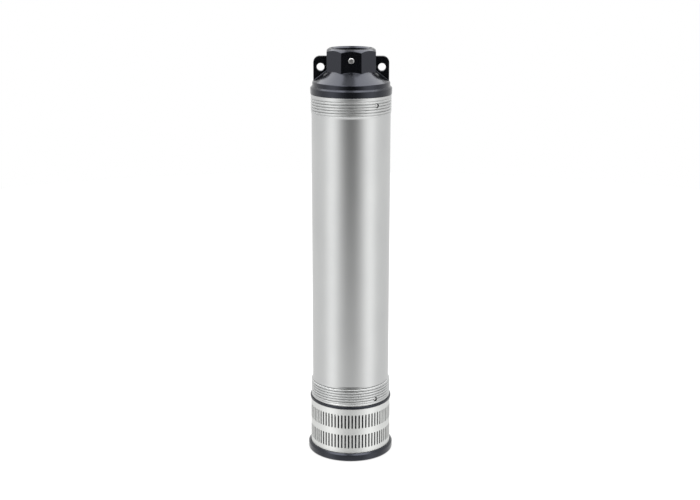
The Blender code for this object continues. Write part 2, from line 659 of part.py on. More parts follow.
def make_bearing(name, radius, journal, width, z):
    race = journal + SEAT_GAP + BEARING_RACE
    turned(f"{name}_bearing_inner_ring", ring_profile(race, journal + SEAT_GAP, width), SMALL,
           bright_steel, rotor_axis, z)
    turned(f"{name}_bearing_outer_ring", ring_profile(radius, race + RUNNING_GAP, width), MEDIUM,
           bright_steel, frame, z)


def make_lower_bracket():
    chamber = seal_journal + SEAT_GAP + SEAL_HEAD_WALL + 2 * RUNNING_GAP
    seat = seal_journal + RUNNING_GAP + SEAL_SEAT_WALL + SEAT_GAP
    neck = lower_journal + RUNNING_GAP
    bearing = LOWER_BEARING_RADIUS + SEAT_GAP
    hub = bearing + BRACKET_WALL
    spigot = BRACKET_FLANGE + BRACKET_SPIGOT
    bracket = turned("lower_motor_bracket", [
        (hub, bracket_height), (hub, spigot), (plug_radius, spigot), (plug_radius, BRACKET_FLANGE),
        (inner_radius, BRACKET_FLANGE), (inner_radius, 0.0), (chamber, 0.0),
        (chamber, seal_seat_floor - SEAT_GAP), (seat, seal_seat_floor - SEAT_GAP),
        (seat, seal_seat_floor + SEAL_SEAT_HEIGHT + SEAT_GAP),
        (neck, seal_seat_floor + SEAL_SEAT_HEIGHT + SEAT_GAP), (neck, bearing_floor),
        (bearing, bearing_floor), (bearing, bracket_height),
    ], MEDIUM, cast_iron, frame, z_bracket)
    width = CAN_GAP - SEAT_GAP - BRACKET_RIM - 2 * SEAT_GAP
    windows = boxes("bracket_windows", BRACKET_WINDOWS, can_radius + SEAT_GAP + width / 2,
                    (width, BRACKET_WINDOW_LENGTH, 3 * BRACKET_FLANGE), 0.0, bracket)
    return cut(bracket, windows)


def make_motor_can():
    return turned("motor_can", ring_profile(can_radius, can_bore, can_length), MEDIUM,
                  brushed_steel, frame, z_can)


def make_winding(name, z):
    outer = plug_radius - STATOR_BACK
    inner = stator_bore + STATOR_SLOT_DEPTH / 3
    bend = WINDING_ROUNDING
    return turned(name, [
        (outer, WINDING_HEIGHT - bend), (outer, bend), (outer - bend, 0.0), (inner, 0.0),
        (inner, WINDING_HEIGHT), (outer - bend, WINDING_HEIGHT),
    ], MEDIUM, copper, frame, z)


def make_stator():
    core = turned("stator_core", ring_profile(plug_radius, stator_bore, core_length), MEDIUM,
                  dark_steel, frame, z_core)
    reach = stator_bore + STATOR_SLOT_DEPTH / 2
    slots = boxes("stator_slots", STATOR_SLOTS, reach, (STATOR_SLOT_DEPTH, STATOR_SLOT_WIDTH,
                                                        2 * core_length), core_length / 2, core,
                  math.pi / MEDIUM)
    make_winding("lower_winding", z_lower_winding)
    make_winding("upper_winding", z_upper_winding)
    return cut(core, slots)


def make_rotor():
    ring = rotor_radius - ROTOR_RING_INSET
    bore = rotor_seat + SEAT_GAP
    return turned("rotor_core", [
        (ring, core_length + ROTOR_RING), (ring, core_length), (rotor_radius, core_length),
        (rotor_radius, 0.0), (ring, 0.0), (ring, -ROTOR_RING), (bore, -ROTOR_RING),
        (bore, core_length + ROTOR_RING),
    ], MEDIUM, dark_steel, rotor_axis, z_core)


def make_upper_bracket():
    bore = UPPER_BEARING_RADIUS + SEAT_GAP
    shelf = UPPER_BEARING_WIDTH + SEAT_GAP
    return turned("upper_motor_bracket", [
        (plug_radius, upper_bracket_height), (plug_radius, shelf - UPPER_BRACKET_RIM),
        (plug_radius - UPPER_BRACKET_RIM, shelf - UPPER_BRACKET_RIM),
        (bore + UPPER_BRACKET_RIM, shelf - UPPER_BRACKET_RIM / 2),
        (bore + UPPER_BRACKET_RIM, 0.0), (bore, 0.0), (bore, shelf),
        (upper_journal + RUNNING_GAP, shelf), (upper_journal + RUNNING_GAP, upper_bracket_height),
    ], MEDIUM, cast_iron, frame, z_upper_bracket)


def make_motor_cap():
    flange_top = CAP_PLUG + CAP_FLANGE
    cap = turned("motor_cap", [
        (0.0, flange_top), (can_radius, flange_top), (can_radius, CAP_PLUG), (plug_radius, CAP_PLUG),
        (plug_radius, 0.0), (plug_radius - BRACKET_WALL, 0.0), (plug_radius - BRACKET_WALL, CAP_PLUG / 2),
        (capacitor_radius + SEAT_GAP, CAP_PLUG / 2), (capacitor_radius + SEAT_GAP, 0.0), (0.0, 0.0),
    ], MEDIUM, moulded_grey, frame, z_cap)
    # The ribs centre the motor in the shell and carry the head's thrust.
    rib_length = inner_radius - SEAT_GAP - (can_radius - HEAD_WALL)
    ribs = boxes("motor_cap_ribs", CAP_RIBS, can_radius - HEAD_WALL + rib_length / 2,
                 (rib_length, CAP_RIB_WIDTH, CAP_RIB_HEIGHT + CAP_FLANGE / 2),
                 flange_top + CAP_RIB_HEIGHT / 2 - CAP_FLANGE / 4, cap, math.pi / 2 + math.pi / CAP_RIBS)
    join(cap, ribs)
    lead_hole = prism("motor_lead_hole", LEAD_RADIUS, flange_top + BITE, CAP_PLUG / 2 - BITE, SMALL, 0.0,
                      (0.0, lead_offset), parent=cap)
    cut(cap, lead_hole)
    nut_bottom = z_cap + flange_top + SEAT_GAP
    nut = prism("motor_lead_gland", LEAD_NUT_RADIUS, nut_bottom + LEAD_NUT_HEIGHT, nut_bottom, HEX, 0.0,
                (0.0, lead_offset), moulded_grey, frame)
    return cut(nut, prism("motor_lead_gland_bore", LEAD_RADIUS, nut_bottom + 2 * LEAD_NUT_HEIGHT,
                          nut_bottom - BITE, SMALL, 0.0, (0.0, lead_offset)))


def make_capacitor():
    return turned("capacitor", rod_profile(capacitor_radius, CAPACITOR_LENGTH), MEDIUM, moulded_white,
                  frame, z_capacitor)


def head_outline():
    groove_radius = inner_radius - RING_GROOVE_DEPTH
    groove_top = -RING_GROOVE_INSET
    # The dome is a cone whose outer edge is rounded into its upright side.
    tilt = math.atan2(dome_radius - port_flat, DOME_RISE)  # of the cone's normal above level
    centre = z_dome - DOME_ROUNDING * math.tan(tilt / 2)
    rounding = []
    for k in range(ROUNDING_STEPS + 1):
        angle = tilt * (1 - k / ROUNDING_STEPS)
        rounding.append((dome_radius - DOME_ROUNDING * (1 - math.cos(angle)),
                         centre + DOME_ROUNDING * math.sin(angle)))
    return [
        (0.0, z_neck), (port_flat, z_neck), *rounding,
        (dome_radius, COLLAR_HEIGHT), (collar_radius - COLLAR_ROUNDING, COLLAR_HEIGHT),
        (collar_radius, COLLAR_HEIGHT - COLLAR_ROUNDING), (collar_radius - COLLAR_DRAFT, 0.0),
        (inner_radius, 0.0), (inner_radius, groove_top), (groove_radius, groove_top),
        (groove_radius, groove_top - RING_GROOVE_WIDTH), (inner_radius, groove_top - RING_GROOVE_WIDTH),
        (inner_radius, -HEAD_SPIGOT), (0.0, -HEAD_SPIGOT),
    ]


def head_waterway():
    # From the mouth of the port, past the snap ring's groove, the valve guide's seat and the valve
    # chamber, to the seat and the hollow above the motor.
    snap_top = z_snap_ring + SNAP_RING_THICKNESS + SEAT_GAP
    guide_floor = z_guide - SEAT_GAP
    hollow = inner_radius - HEAD_WALL
    return [
        (0.0, z_rim + BITE), (PORT_RADIUS + PORT_MOUTH, z_rim + BITE), (PORT_RADIUS + PORT_MOUTH, z_rim),
        (PORT_RADIUS, z_rim - PORT_MOUTH), (PORT_RADIUS, snap_top), (snap_groove_radius, snap_top),
        (snap_groove_radius, z_snap_ring - SEAT_GAP), (PORT_RADIUS, z_snap_ring - SEAT_GAP),
        (PORT_RADIUS, guide_floor), (chamber_radius, guide_floor), (chamber_radius, VALVE_SEAT_HEIGHT),
        (VALVE_SEAT_RADIUS, VALVE_SEAT_HEIGHT), (VALVE_SEAT_RADIUS, 0.0),
        (hollow, -HEAD_SPIGOT + HEAD_WALL), (hollow, -HEAD_SPIGOT - BITE), (0.0, -HEAD_SPIGOT - BITE),
    ]


def make_octagon(parent):
    octagon = prism("port_octagon", port_corner, z_rim, z_dome, PORT_SIDES, math.pi / PORT_SIDES,
                    (0, 0), parent=parent)
    # A coned envelope takes the sharp corners off the top, as on a turned nut.
    top_radius = port_flat - PORT_CHAMFER / 2
    reach = 2 * PORT_CHAMFER + port_corner - top_radius
    envelope = turned("port_envelope", [
        (0.0, z_rim), (top_radius, z_rim), (top_radius + reach, z_rim - reach * PORT_CHAMFER_SLOPE),
        (top_radius + reach, 0.0), (0.0, 0.0),
    ], LARGE, parent=parent)
    return combine(octagon, envelope, "INTERSECT")


def make_lugs(parent):
    # Flat ears in the plane of the front view, with their feet on the dome.
    reach = dome_radius - LUG_INSET
    top = z_rim - LUG_TOP_DROP
    foot = z_dome - DOME_ROUNDING / 2
    outline = bpy.data.curves.new("lug_outline", "CURVE")
    outline.dimensions = "2D"
    outline.fill_mode = "BOTH"
    outline.extrude = LUG_THICKNESS / 2
    corner = [(reach - LUG_ROUNDING * (1 - math.cos(a)), top - LUG_ROUNDING * (1 - math.sin(a)))
              for a in (math.pi / 2 * k / LUG_CORNER_STEPS for k in range(LUG_CORNER_STEPS + 1))]
    right = [(reach, foot), *corner]
    points = right + [(-x, z) for x, z in right[::-1]]
    spline = outline.splines.new("POLY")
    spline.points.add(len(points) - 1)
    for point, (x, z) in zip(spline.points, points):
        point.co = (x, z, 0.0, 1.0)
    spline.use_cyclic_u = True
    upright = Matrix.Rotation(math.pi / 2, 4, "X")
    flat = bpy.data.objects.new("lug_outline", outline)
    helpers.objects.link(flat)
    bpy.context.view_layer.update()
    mesh = bpy.data.meshes.new_from_object(flat.evaluated_get(bpy.context.evaluated_depsgraph_get()))
    shape = bmesh.new()
    shape.from_mesh(mesh)
    bmesh.ops.remove_doubles(shape, verts=shape.verts, dist=0.00001)
    bmesh.ops.transform(shape, matrix=upright, verts=shape.verts)
    shape.to_mesh(mesh)
    shape.free()
    bpy.data.objects.remove(flat)
    return add_object("lugs", mesh, parent=parent)


def lug_holes(parent):
    drill = prism("lug_hole", LUG_HOLE_RADIUS, LUG_THICKNESS, -LUG_THICKNESS, LUG_HOLE_FACETS, 0.0,
                  (0, 0), parent=parent)
    x = dome_radius - LUG_INSET - LUG_HOLE_INSET
    aim(drill, (0, -1, 0), (x, 0, z_rim - LUG_TOP_DROP - LUG_HOLE_DROP))
    mirrored = prism("lug_hole_left", LUG_HOLE_RADIUS, LUG_THICKNESS, -LUG_THICKNESS, LUG_HOLE_FACETS,
                     0.0, (0, 0), parent=parent)
    aim(mirrored, (0, -1, 0), (-x, 0, z_rim - LUG_TOP_DROP - LUG_HOLE_DROP))
    return drill, mirrored


def make_head():
    head = turned("discharge_head", head_outline(), LARGE, black_plastic, frame, z_collar)
    boss_top = z_dome + GLAND_BOSS_RISE
    boss = prism("gland_boss", GLAND_BOSS_RADIUS, boss_top, z_dome - SHOULDER_HEIGHT, SMALL, 0.0,
                 (0.0, gland_offset), parent=head)
    join(head, make_octagon(head), make_lugs(head), boss)
    cut(head, turned("waterway", head_waterway(), MEDIUM, parent=head))
    cut(head, *lug_holes(head))
    seat_bottom = boss_top - GLAND_SEAT_DEPTH
    seat = prism("gland_seat", LEAD_RADIUS + GROMMET_WALL + SEAT_GAP, boss_top + BITE, seat_bottom, SMALL,
                 0.0, (0.0, gland_offset), parent=head)
    lead = prism("gland_lead_hole", LEAD_RADIUS, boss_top, -HEAD_SPIGOT, SMALL, 0.0,
                 (0.0, gland_offset), parent=head)
    cut(head, seat, lead)
    cut(head, shell_screw_hole("head_lock_hole", head, z_shell_top - UPPER_SCREW_DROP - z_collar))
    add_rubber_ring("head_o_ring", inner_radius - RING_GROOVE_DEPTH, shell_bore,
                    z_collar - RING_GROOVE_INSET - RING_GROOVE_WIDTH, LARGE)
    make_port_screw(head)
    make_gland(z_collar + seat_bottom, z_collar + boss_top)
    return head


def make_port_screw(head):
    z = z_rim - LOCK_SCREW_DROP
    hole = turned("port_screw_hole", rod_profile(LOCK_SCREW_RADIUS + SEAT_GAP, BITE, -2 * PORT_WALL),
                  SMALL, parent=head)
    cut(head, aim(hole, (0, -1, 0), (0, -port_flat, z)))
    screw = turned("port_lock_screw", screw_profile(LOCK_HEAD_RADIUS, LOCK_HEAD_HEIGHT,
                                                    LOCK_SCREW_RADIUS, PORT_WALL - SEAT_GAP),
                   SMALL, bright_steel, frame)
    return aim(screw, (0, -1, 0), (0, -port_flat - SEAT_GAP, z_collar + z))


def make_gland(seat_bottom, boss_top):
    outer = LEAD_RADIUS + GROMMET_WALL
    top = boss_top - seat_bottom
    grommet = prism("cable_grommet", outer, top, SEAT_GAP, SMALL, 0.0, (0.0, gland_offset), rubber,
                    frame, seat_bottom)
    cut(grommet, prism("cable_grommet_bore", LEAD_RADIUS, 2 * top, -BITE, SMALL, 0.0,
                       (0.0, gland_offset), parent=grommet))
    nut = prism("cable_gland_nut", GLAND_BOSS_RADIUS, GLAND_NUT_HEIGHT, 0.0, HEX, 0.0,
                (0.0, gland_offset), black_plastic, frame, boss_top + SEAT_GAP)
    return cut(nut, prism("cable_gland_nut_bore", LEAD_RADIUS, 2 * GLAND_NUT_HEIGHT, -BITE, SMALL, 0.0,
                          (0.0, gland_offset), parent=nut))


def make_valve():
    turned("valve_seal", ring_profile(VALVE_SEAT_RADIUS + VALVE_SEAL_WIDTH / 2,
                                      VALVE_SEAT_RADIUS - VALVE_SEAL_WIDTH / 2, VALVE_SEAL_THICKNESS),
           MEDIUM, rubber, valve_axis, z_collar + VALVE_SEAT_HEIGHT + SEAT_GAP)
    stem_top = z_guide + GUIDE_HEIGHT - z_valve
    turned("valve_poppet", [
        (0.0, stem_top), (VALVE_STEM_RADIUS, stem_top), (VALVE_STEM_RADIUS, VALVE_DISC_THICKNESS),
        (valve_disc_radius - VALVE_DISC_THICKNESS / 3, VALVE_DISC_THICKNESS),
        (valve_disc_radius, 2 * VALVE_DISC_THICKNESS / 3), (valve_disc_radius, 0.0), (0.0, 0.0),
    ], MEDIUM, moulded_white, valve_axis, z_collar + z_valve)
    hub = VALVE_STEM_RADIUS + SEAT_GAP
    rim = PORT_RADIUS - SEAT_GAP
    guide = turned("valve_guide", ring_profile(rim, rim - GUIDE_RIM, GUIDE_HEIGHT), MEDIUM,
                   moulded_white, frame, z_collar + z_guide)
    hub_shape = ring_profile(hub + GUIDE_HUB_WALL, hub, GUIDE_HEIGHT, -GUIDE_HUB_DROP)
    centre = turned("valve_guide_hub", hub_shape, MEDIUM, parent=guide)
    rib = rim - GUIDE_RIM + BITE - (hub + GUIDE_HUB_WALL - BITE)
    ribs = boxes("valve_guide_ribs", GUIDE_RIBS, hub + GUIDE_HUB_WALL - BITE + rib / 2,
                 (rib, GUIDE_RIB_WIDTH, GUIDE_HEIGHT - 2 * SEAT_GAP), GUIDE_HEIGHT / 2, guide, math.pi / 2)
    join(guide, ribs, centre)
    groove = snap_groove_radius - SEAT_GAP
    snap = turned("snap_ring", ring_profile(groove, PORT_RADIUS - GUIDE_RIM / 2, SNAP_RING_THICKNESS),
                  MEDIUM, bright_steel, frame, z_collar + z_snap_ring)
    gap = boxes("snap_ring_gap", 1, PORT_RADIUS, (3 * GUIDE_RIM, 3 * GUIDE_RIM, 3 * SNAP_RING_THICKNESS),
                0.0, snap, -math.pi / 2)
    return cut(snap, gap)


def make_spring():
    # A round wire on a helix, with a flat closed turn at each end.
    coil = bpy.data.curves.new("valve_spring", "CURVE")
    coil.dimensions = "3D"
    coil.bevel_depth = SPRING_WIRE
    coil.bevel_resolution = 2
    coil.use_fill_caps = True
    low, high = SPRING_WIRE, spring_length - SPRING_WIRE
    total = (SPRING_TURNS + 1) * SPRING_STEPS
    spline = coil.splines.new("POLY")
    spline.points.add(total)
    for i, point in enumerate(spline.points):
        angle = 2 * math.pi * i / SPRING_STEPS
        climb = min(max((i - SPRING_STEPS / 2) / (total - SPRING_STEPS), 0.0), 1.0)
        closed = min(i / SPRING_STEPS, 0.5) + max((i - total) / SPRING_STEPS + 0.5, 0.0)
        rise = low + SPRING_CLOSED_PITCH * closed + (high - low - SPRING_CLOSED_PITCH) * climb
        point.co = (SPRING_RADIUS * math.cos(angle), SPRING_RADIUS * math.sin(angle), rise, 1.0)
    obj = bpy.data.objects.new("valve_spring", coil)
    pieces.objects.link(obj)
    coil.materials.append(bright_steel)
    obj.parent = frame
    obj.location.z = z_collar + z_spring
    return obj


def add_empty(name, parent=None, height=0.0):
    empty = bpy.data.objects.new(name, None)
    pieces.objects.link(empty)
    empty.parent = parent
    empty.location.z = height
    return empty


def finish_pieces():
    # Each mesh becomes the one that its modifiers make, with flat faces in one piece, and is shaded
    # smooth up to its sharp edges.
    for obj in pieces.objects:
        if obj.type == "MESH":
            flat = obj.modifiers.new("flat faces", "DECIMATE")
            flat.decimate_type = "DISSOLVE"
            flat.angle_limit = FLAT_ANGLE
    bpy.context.view_layer.update()
    scene_state = bpy.context.evaluated_depsgraph_get()
    solids = [obj for obj in pieces.objects if obj.type == "MESH"]
    meshes = [bpy.data.meshes.new_from_object(obj.evaluated_get(scene_state)) for obj in solids]
    for obj, mesh in zip(solids, meshes):
        obj.modifiers.clear()
        obj.data = mesh
        mesh.shade_smooth()
        mesh.set_sharp_from_angle(angle=SHARP_ANGLE)


for old in list(bpy.data.objects):
    bpy.data.objects.remove(old)

pieces = make_collection("borehole_pump")
helpers = make_collection("cutters")

brushed_steel = make_material("brushed_steel", (0.60, 0.61, 0.60), 0.34, 1.0)
slotted_steel = make_material("slotted_steel", (0.72, 0.73, 0.72), 0.45, 0.9)
bright_steel = make_material("bright_steel", (0.66, 0.66, 0.66), 0.25, 1.0)
dark_steel = make_material("dark_steel", (0.20, 0.20, 0.21), 0.5, 0.9)
cast_iron = make_material("cast_iron", (0.16, 0.16, 0.17), 0.6, 0.8)
black_plastic = make_material("black_plastic", (0.03, 0.03, 0.035), 0.42, 0.0)
moulded_grey = make_material("moulded_grey", (0.12, 0.12, 0.13), 0.5, 0.0)
moulded_white = make_material("moulded_white", (0.70, 0.68, 0.62), 0.45, 0.0)
rubber = make_material("rubber", (0.02, 0.02, 0.02), 0.7, 0.0)
ceramic = make_material("ceramic", (0.80, 0.79, 0.76), 0.2, 0.0)
copper = make_material("copper", (0.55, 0.24, 0.12), 0.35, 1.0)

frame = add_empty("pump_frame")
rotor_axis = add_empty("rotor_axis", frame)
valve_axis = add_empty("valve_axis", frame)

leg_turn = math.pi / 2  # one leg at the back
gland_offset = (port_flat + dome_radius) / 2 + GLAND_SHIFT
lead_offset = capacitor_radius + LEAD_NUT_RADIUS

make_foot()
make_strainer()
make_tie_screws()
make_suction_base()
make_shell()
make_stages()
make_shaft()
make_seal()
make_bearing("lower", LOWER_BEARING_RADIUS, lower_journal, LOWER_BEARING_WIDTH, z_lower_bearing)
make_bearing("upper", UPPER_BEARING_RADIUS, upper_journal, UPPER_BEARING_WIDTH, z_upper_bracket)
make_lower_bracket()
make_motor_can()
make_stator()
make_rotor()
make_upper_bracket()
make_capacitor()
make_motor_cap()
make_head()
make_valve()
make_spring()
finish_pieces()
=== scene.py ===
from math import atan, cos, hypot, pi, radians, sin, sqrt, tan
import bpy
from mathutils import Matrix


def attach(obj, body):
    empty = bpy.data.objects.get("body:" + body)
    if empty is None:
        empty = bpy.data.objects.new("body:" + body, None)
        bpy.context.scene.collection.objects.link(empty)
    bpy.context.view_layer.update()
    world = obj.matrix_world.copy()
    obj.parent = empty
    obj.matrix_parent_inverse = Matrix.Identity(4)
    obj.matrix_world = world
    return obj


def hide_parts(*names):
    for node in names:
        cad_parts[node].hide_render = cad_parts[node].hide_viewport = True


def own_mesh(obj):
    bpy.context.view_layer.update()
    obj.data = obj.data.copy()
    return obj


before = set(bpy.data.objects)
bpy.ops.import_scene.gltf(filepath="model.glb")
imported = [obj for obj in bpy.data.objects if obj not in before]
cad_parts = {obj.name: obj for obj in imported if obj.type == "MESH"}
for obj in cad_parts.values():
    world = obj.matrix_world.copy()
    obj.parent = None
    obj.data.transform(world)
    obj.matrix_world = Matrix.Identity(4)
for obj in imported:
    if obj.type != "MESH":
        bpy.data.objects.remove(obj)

from types import SimpleNamespace

import bmesh
import bpy
from mathutils import Matrix, Vector

mm = 0.001
scene = bpy.context.scene
scene.view_settings.view_transform = "Standard"
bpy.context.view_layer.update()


def named(settings):  # lets a settings dictionary be read as s.radius
    return SimpleNamespace(**settings)


def linearColour(hexCode):  # sRGB hex to linear
    parts = [int(hexCode[i:i + 2], 16) / 255 for i in (1, 3, 5)]
    return [p / 12.92 if p <= 0.04045 else ((p + 0.055) / 1.055) ** 2.4 for p in parts] + [1.0]


def addNode(tree, kind, inputs=None, **settings):  # one node with its settings, values and links
    node = tree.nodes.new(kind)
    for name, value in settings.items():
        setattr(node, name, value)
    for key, value in (inputs or {}).items():
        if isinstance(value, bpy.types.Node):
            value = value.outputs[0]
        if isinstance(value, bpy.types.NodeSocket):
            tree.links.new(value, node.inputs[key])
        else:
            node.inputs[key].default_value = value
    return node


def linked(name, data):  # a new object in the scene, at the origin
    made = bpy.data.objects.new(name, data)
    scene.collection.objects.link(made)
    return made


def meshOf(name, shape):
    mesh = bpy.data.meshes.new(name)
    shape.to_mesh(mesh)
    shape.free()
    return mesh


def shapeOf(*meshes):
    shape = bmesh.new()
    for mesh in meshes:
        shape.from_mesh(mesh)
    return shape


def standIn(name, shape):  # a helper object that modifiers use and that is removed later
    return linked(name, meshOf(name, shape))


def weld(shape, distance):
    bmesh.ops.remove_doubles(shape, verts=shape.verts, dist=distance * mm)


def outwards(shape):
    bmesh.ops.recalc_face_normals(shape, faces=shape.faces)
    return shape


def finishPiece(name, shape, finishName, smoothAngle=30, body="housing", nodes=()):
    mesh = meshOf(name, shape) if isinstance(shape, bmesh.types.BMesh) else shape
    mesh.name = name
    mesh.materials.clear()
    mesh.materials.append(finish[finishName])
    mesh.shade_smooth()
    mesh.set_sharp_from_angle(angle=radians(smoothAngle))
    piece = linked(name, mesh)
    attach(piece, body)
    if nodes:
        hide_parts(*nodes)
    return piece


def rounded(corners, steps=4, closed=None):
    # Corners are (radius, height, fillet) in mm; each fillet becomes an arc of a few points.
    if closed is None:
        closed = corners[0][0] > 0
    points = []
    count = len(corners)
    for i, (r, z, fillet) in enumerate(corners):
        here = Vector((r, z))
        if not fillet or (not closed and i in (0, count - 1)):
            points.append((r, z))
            continue
        before = Vector(corners[i - 1][:2]) - here
        after = Vector(corners[(i + 1) % count][:2]) - here
        half = before.angle(after) / 2
        back = min(fillet / tan(half), 0.49 * before.length, 0.49 * after.length)
        radius = back * tan(half)
        centre = here + (before.normalized() + after.normalized()).normalized() * radius / sin(half)
        start = here + before.normalized() * back - centre
        end = here + after.normalized() * back - centre
        sweep = start.angle_signed(end)
        for k in range(steps + 1):
            arm = start.copy()
            arm.rotate(Matrix.Rotation(-sweep * k / steps, 2))
            points.append(tuple(centre + arm))
    return points


def addTurned(shape, profile, segments, closed=None, place=None):
    # Turns (radius, height) points in mm round Z. A point on the axis becomes one vertex. Unless it is told
    # otherwise, a profile that starts away from the axis is closed.
    if closed is None:
        closed = profile[0][0] > 0
    rings = []
    for r, z in profile:
        turns = [2 * pi * k / segments for k in range(segments if r > 1e-6 else 1)]
        rings.append([shape.verts.new((r * mm * cos(a), r * mm * sin(a), z * mm)) for a in turns])
    for low, high in zip(rings, rings[1:] + ([rings[0]] if closed else [])):
        if len(low) == len(high) == 1:
            continue
        for k in range(segments):
            n = (k + 1) % segments
            corners = (low[k % len(low)], low[n % len(low)], high[n % len(high)], high[k % len(high)])
            shape.faces.new(list(dict.fromkeys(corners)))  # a triangle where two of them are one
    if place is not None:
        bmesh.ops.transform(shape, matrix=place, verts=[v for ring in rings for v in ring])


def turnedShape(profile, segments, place=None):
    shape = bmesh.new()
    addTurned(shape, profile, segments, place=place)
    return outwards(shape)


def bridge(shape, rings, caps=True):  # skins a row of vertex rings and closes both ends
    for low, high in zip(rings, rings[1:]):
        for k in range(len(low)):
            n = (k + 1) % len(low)
            shape.faces.new((low[k], low[n], high[n], high[k]))
    if caps:
        shape.faces.new(rings[0])
        shape.faces.new(rings[-1][::-1])


def polygon(count, radius, first=0.0):
    turns = [first + 2 * pi * k / count for k in range(count)]
    return [(radius * cos(a), radius * sin(a)) for a in turns]


def addPrism(shape, outline, low, high):  # an upright prism on (x, y) points in mm
    bottom = [shape.verts.new((x * mm, y * mm, low * mm)) for x, y in outline]
    top = [shape.verts.new((x * mm, y * mm, high * mm)) for x, y in outline]
    shape.faces.new(bottom[::-1])
    shape.faces.new(top)
    bridge(shape, [bottom, top], caps=False)


def at(x, y, z):
    return Matrix.Translation((x * mm, y * mm, z * mm))


def thirds(circle, height=0.0):  # the three places of the tie screws
    return [Matrix.Rotation(pi / 2 + 2 * pi * k / 3, 4, "Z") @ at(circle, 0, height) for k in range(3)]


def facing(turn, radius, height):  # a place on the tube, in degrees from the front, with Z pointing out
    out = Vector((sin(radians(turn)), -cos(radians(turn)), 0))
    return at(*(out * radius).xy, height) @ out.to_track_quat("Z", "Y").to_matrix().to_4x4()


def sideways(x, y, z):  # a place in mm whose Z axis points to the front
    return at(x, y, z) @ Matrix.Rotation(pi / 2, 4, "X")


def bevelled(helper, width, segments=2, angle=25):
    bevel = helper.modifiers.new("edges", "BEVEL")
    bevel.width = width * mm
    bevel.segments = segments
    bevel.limit_method = "ANGLE"
    bevel.angle_limit = radians(angle)
    return helper


def combined(helper, other, operation):
    boolean = helper.modifiers.new(operation.lower(), "BOOLEAN")
    boolean.operation = operation
    boolean.object = other
    boolean.solver = "EXACT"
    return helper


def evaluatedMesh(helper, spent=()):  # the mesh after its modifiers; the helpers are removed
    bpy.context.view_layer.update()
    mesh = bpy.data.meshes.new_from_object(helper.evaluated_get(bpy.context.evaluated_depsgraph_get()))
    for used in (helper, *spent):
        bpy.data.objects.remove(used)
    return mesh


def carved(helper, name, cutter, spent=()):  # cuts a shape out of a helper and gives back the mesh
    tool = standIn(name, outwards(cutter))
    combined(helper, tool, "DIFFERENCE")
    return evaluatedMesh(helper, [tool, *spent])


cameraSetup = {"lens": 63.3, "sensor": 36.0, "clipEnd": 20.0, "back": 1363.0, "height": 594.0, "side": -0.95,
               "tilt": 14.57, "roll": 0.117}

worldSetup = {  # angles in degrees, from the front or from the horizon
    "level": 0.96,
    "wallTop": (30.0, 65.0),
    "ceiling": 1.1,        # the walls reach this level at the ceiling, which the softboxes light
    "frontDark": 0.44,     # the unlit camera side of the studio, seen in the steel as one dark stripe
    "darkAcross": (24.0, 42.0), "darkBelow": (-80.0, -50.0), "darkAbove": (30.0, 60.0),
    "coreAcross": (7.0, 32.0), "coreBelow": (-21.0, -11.0),  # straight in front it has no light at all
    "frontFade": (-22.0, -5.0), "frontFloor": 1.0,           # towards the floor it is lit
    "glow": 0.62, "glowAt": 58.0, "glowWidth": 30.0,         # brighter walls to both sides of the stripe
}

floorSetup = {"segments": 96, "radius": 1700.0, "drop": 0.2, "paint": "#F1F1EF", "shadowShare": 0.35}

softboxes = {
    "leftSoftbox": {"at": (-640, -50, 1550), "aim": (-80, -50, 430), "size": (3100, 800), "power": 21.0},
    "rightSoftbox": {"at": (490, -50, 1550), "aim": (-70, -50, 430), "size": (3100, 800), "power": 21.0},
}


def addCamera(s):
    data = bpy.data.cameras.new("photoCamera")
    data.sensor_width = s.sensor
    data.lens = s.lens
    data.clip_end = s.clipEnd
    camera = linked("photoCamera", data)
    camera.matrix_world = (at(s.side, -s.back, s.height) @ Matrix.Rotation(radians(90 - s.tilt), 4, "X")
                           @ Matrix.Rotation(radians(s.roll), 4, "Z"))
    scene.camera = camera


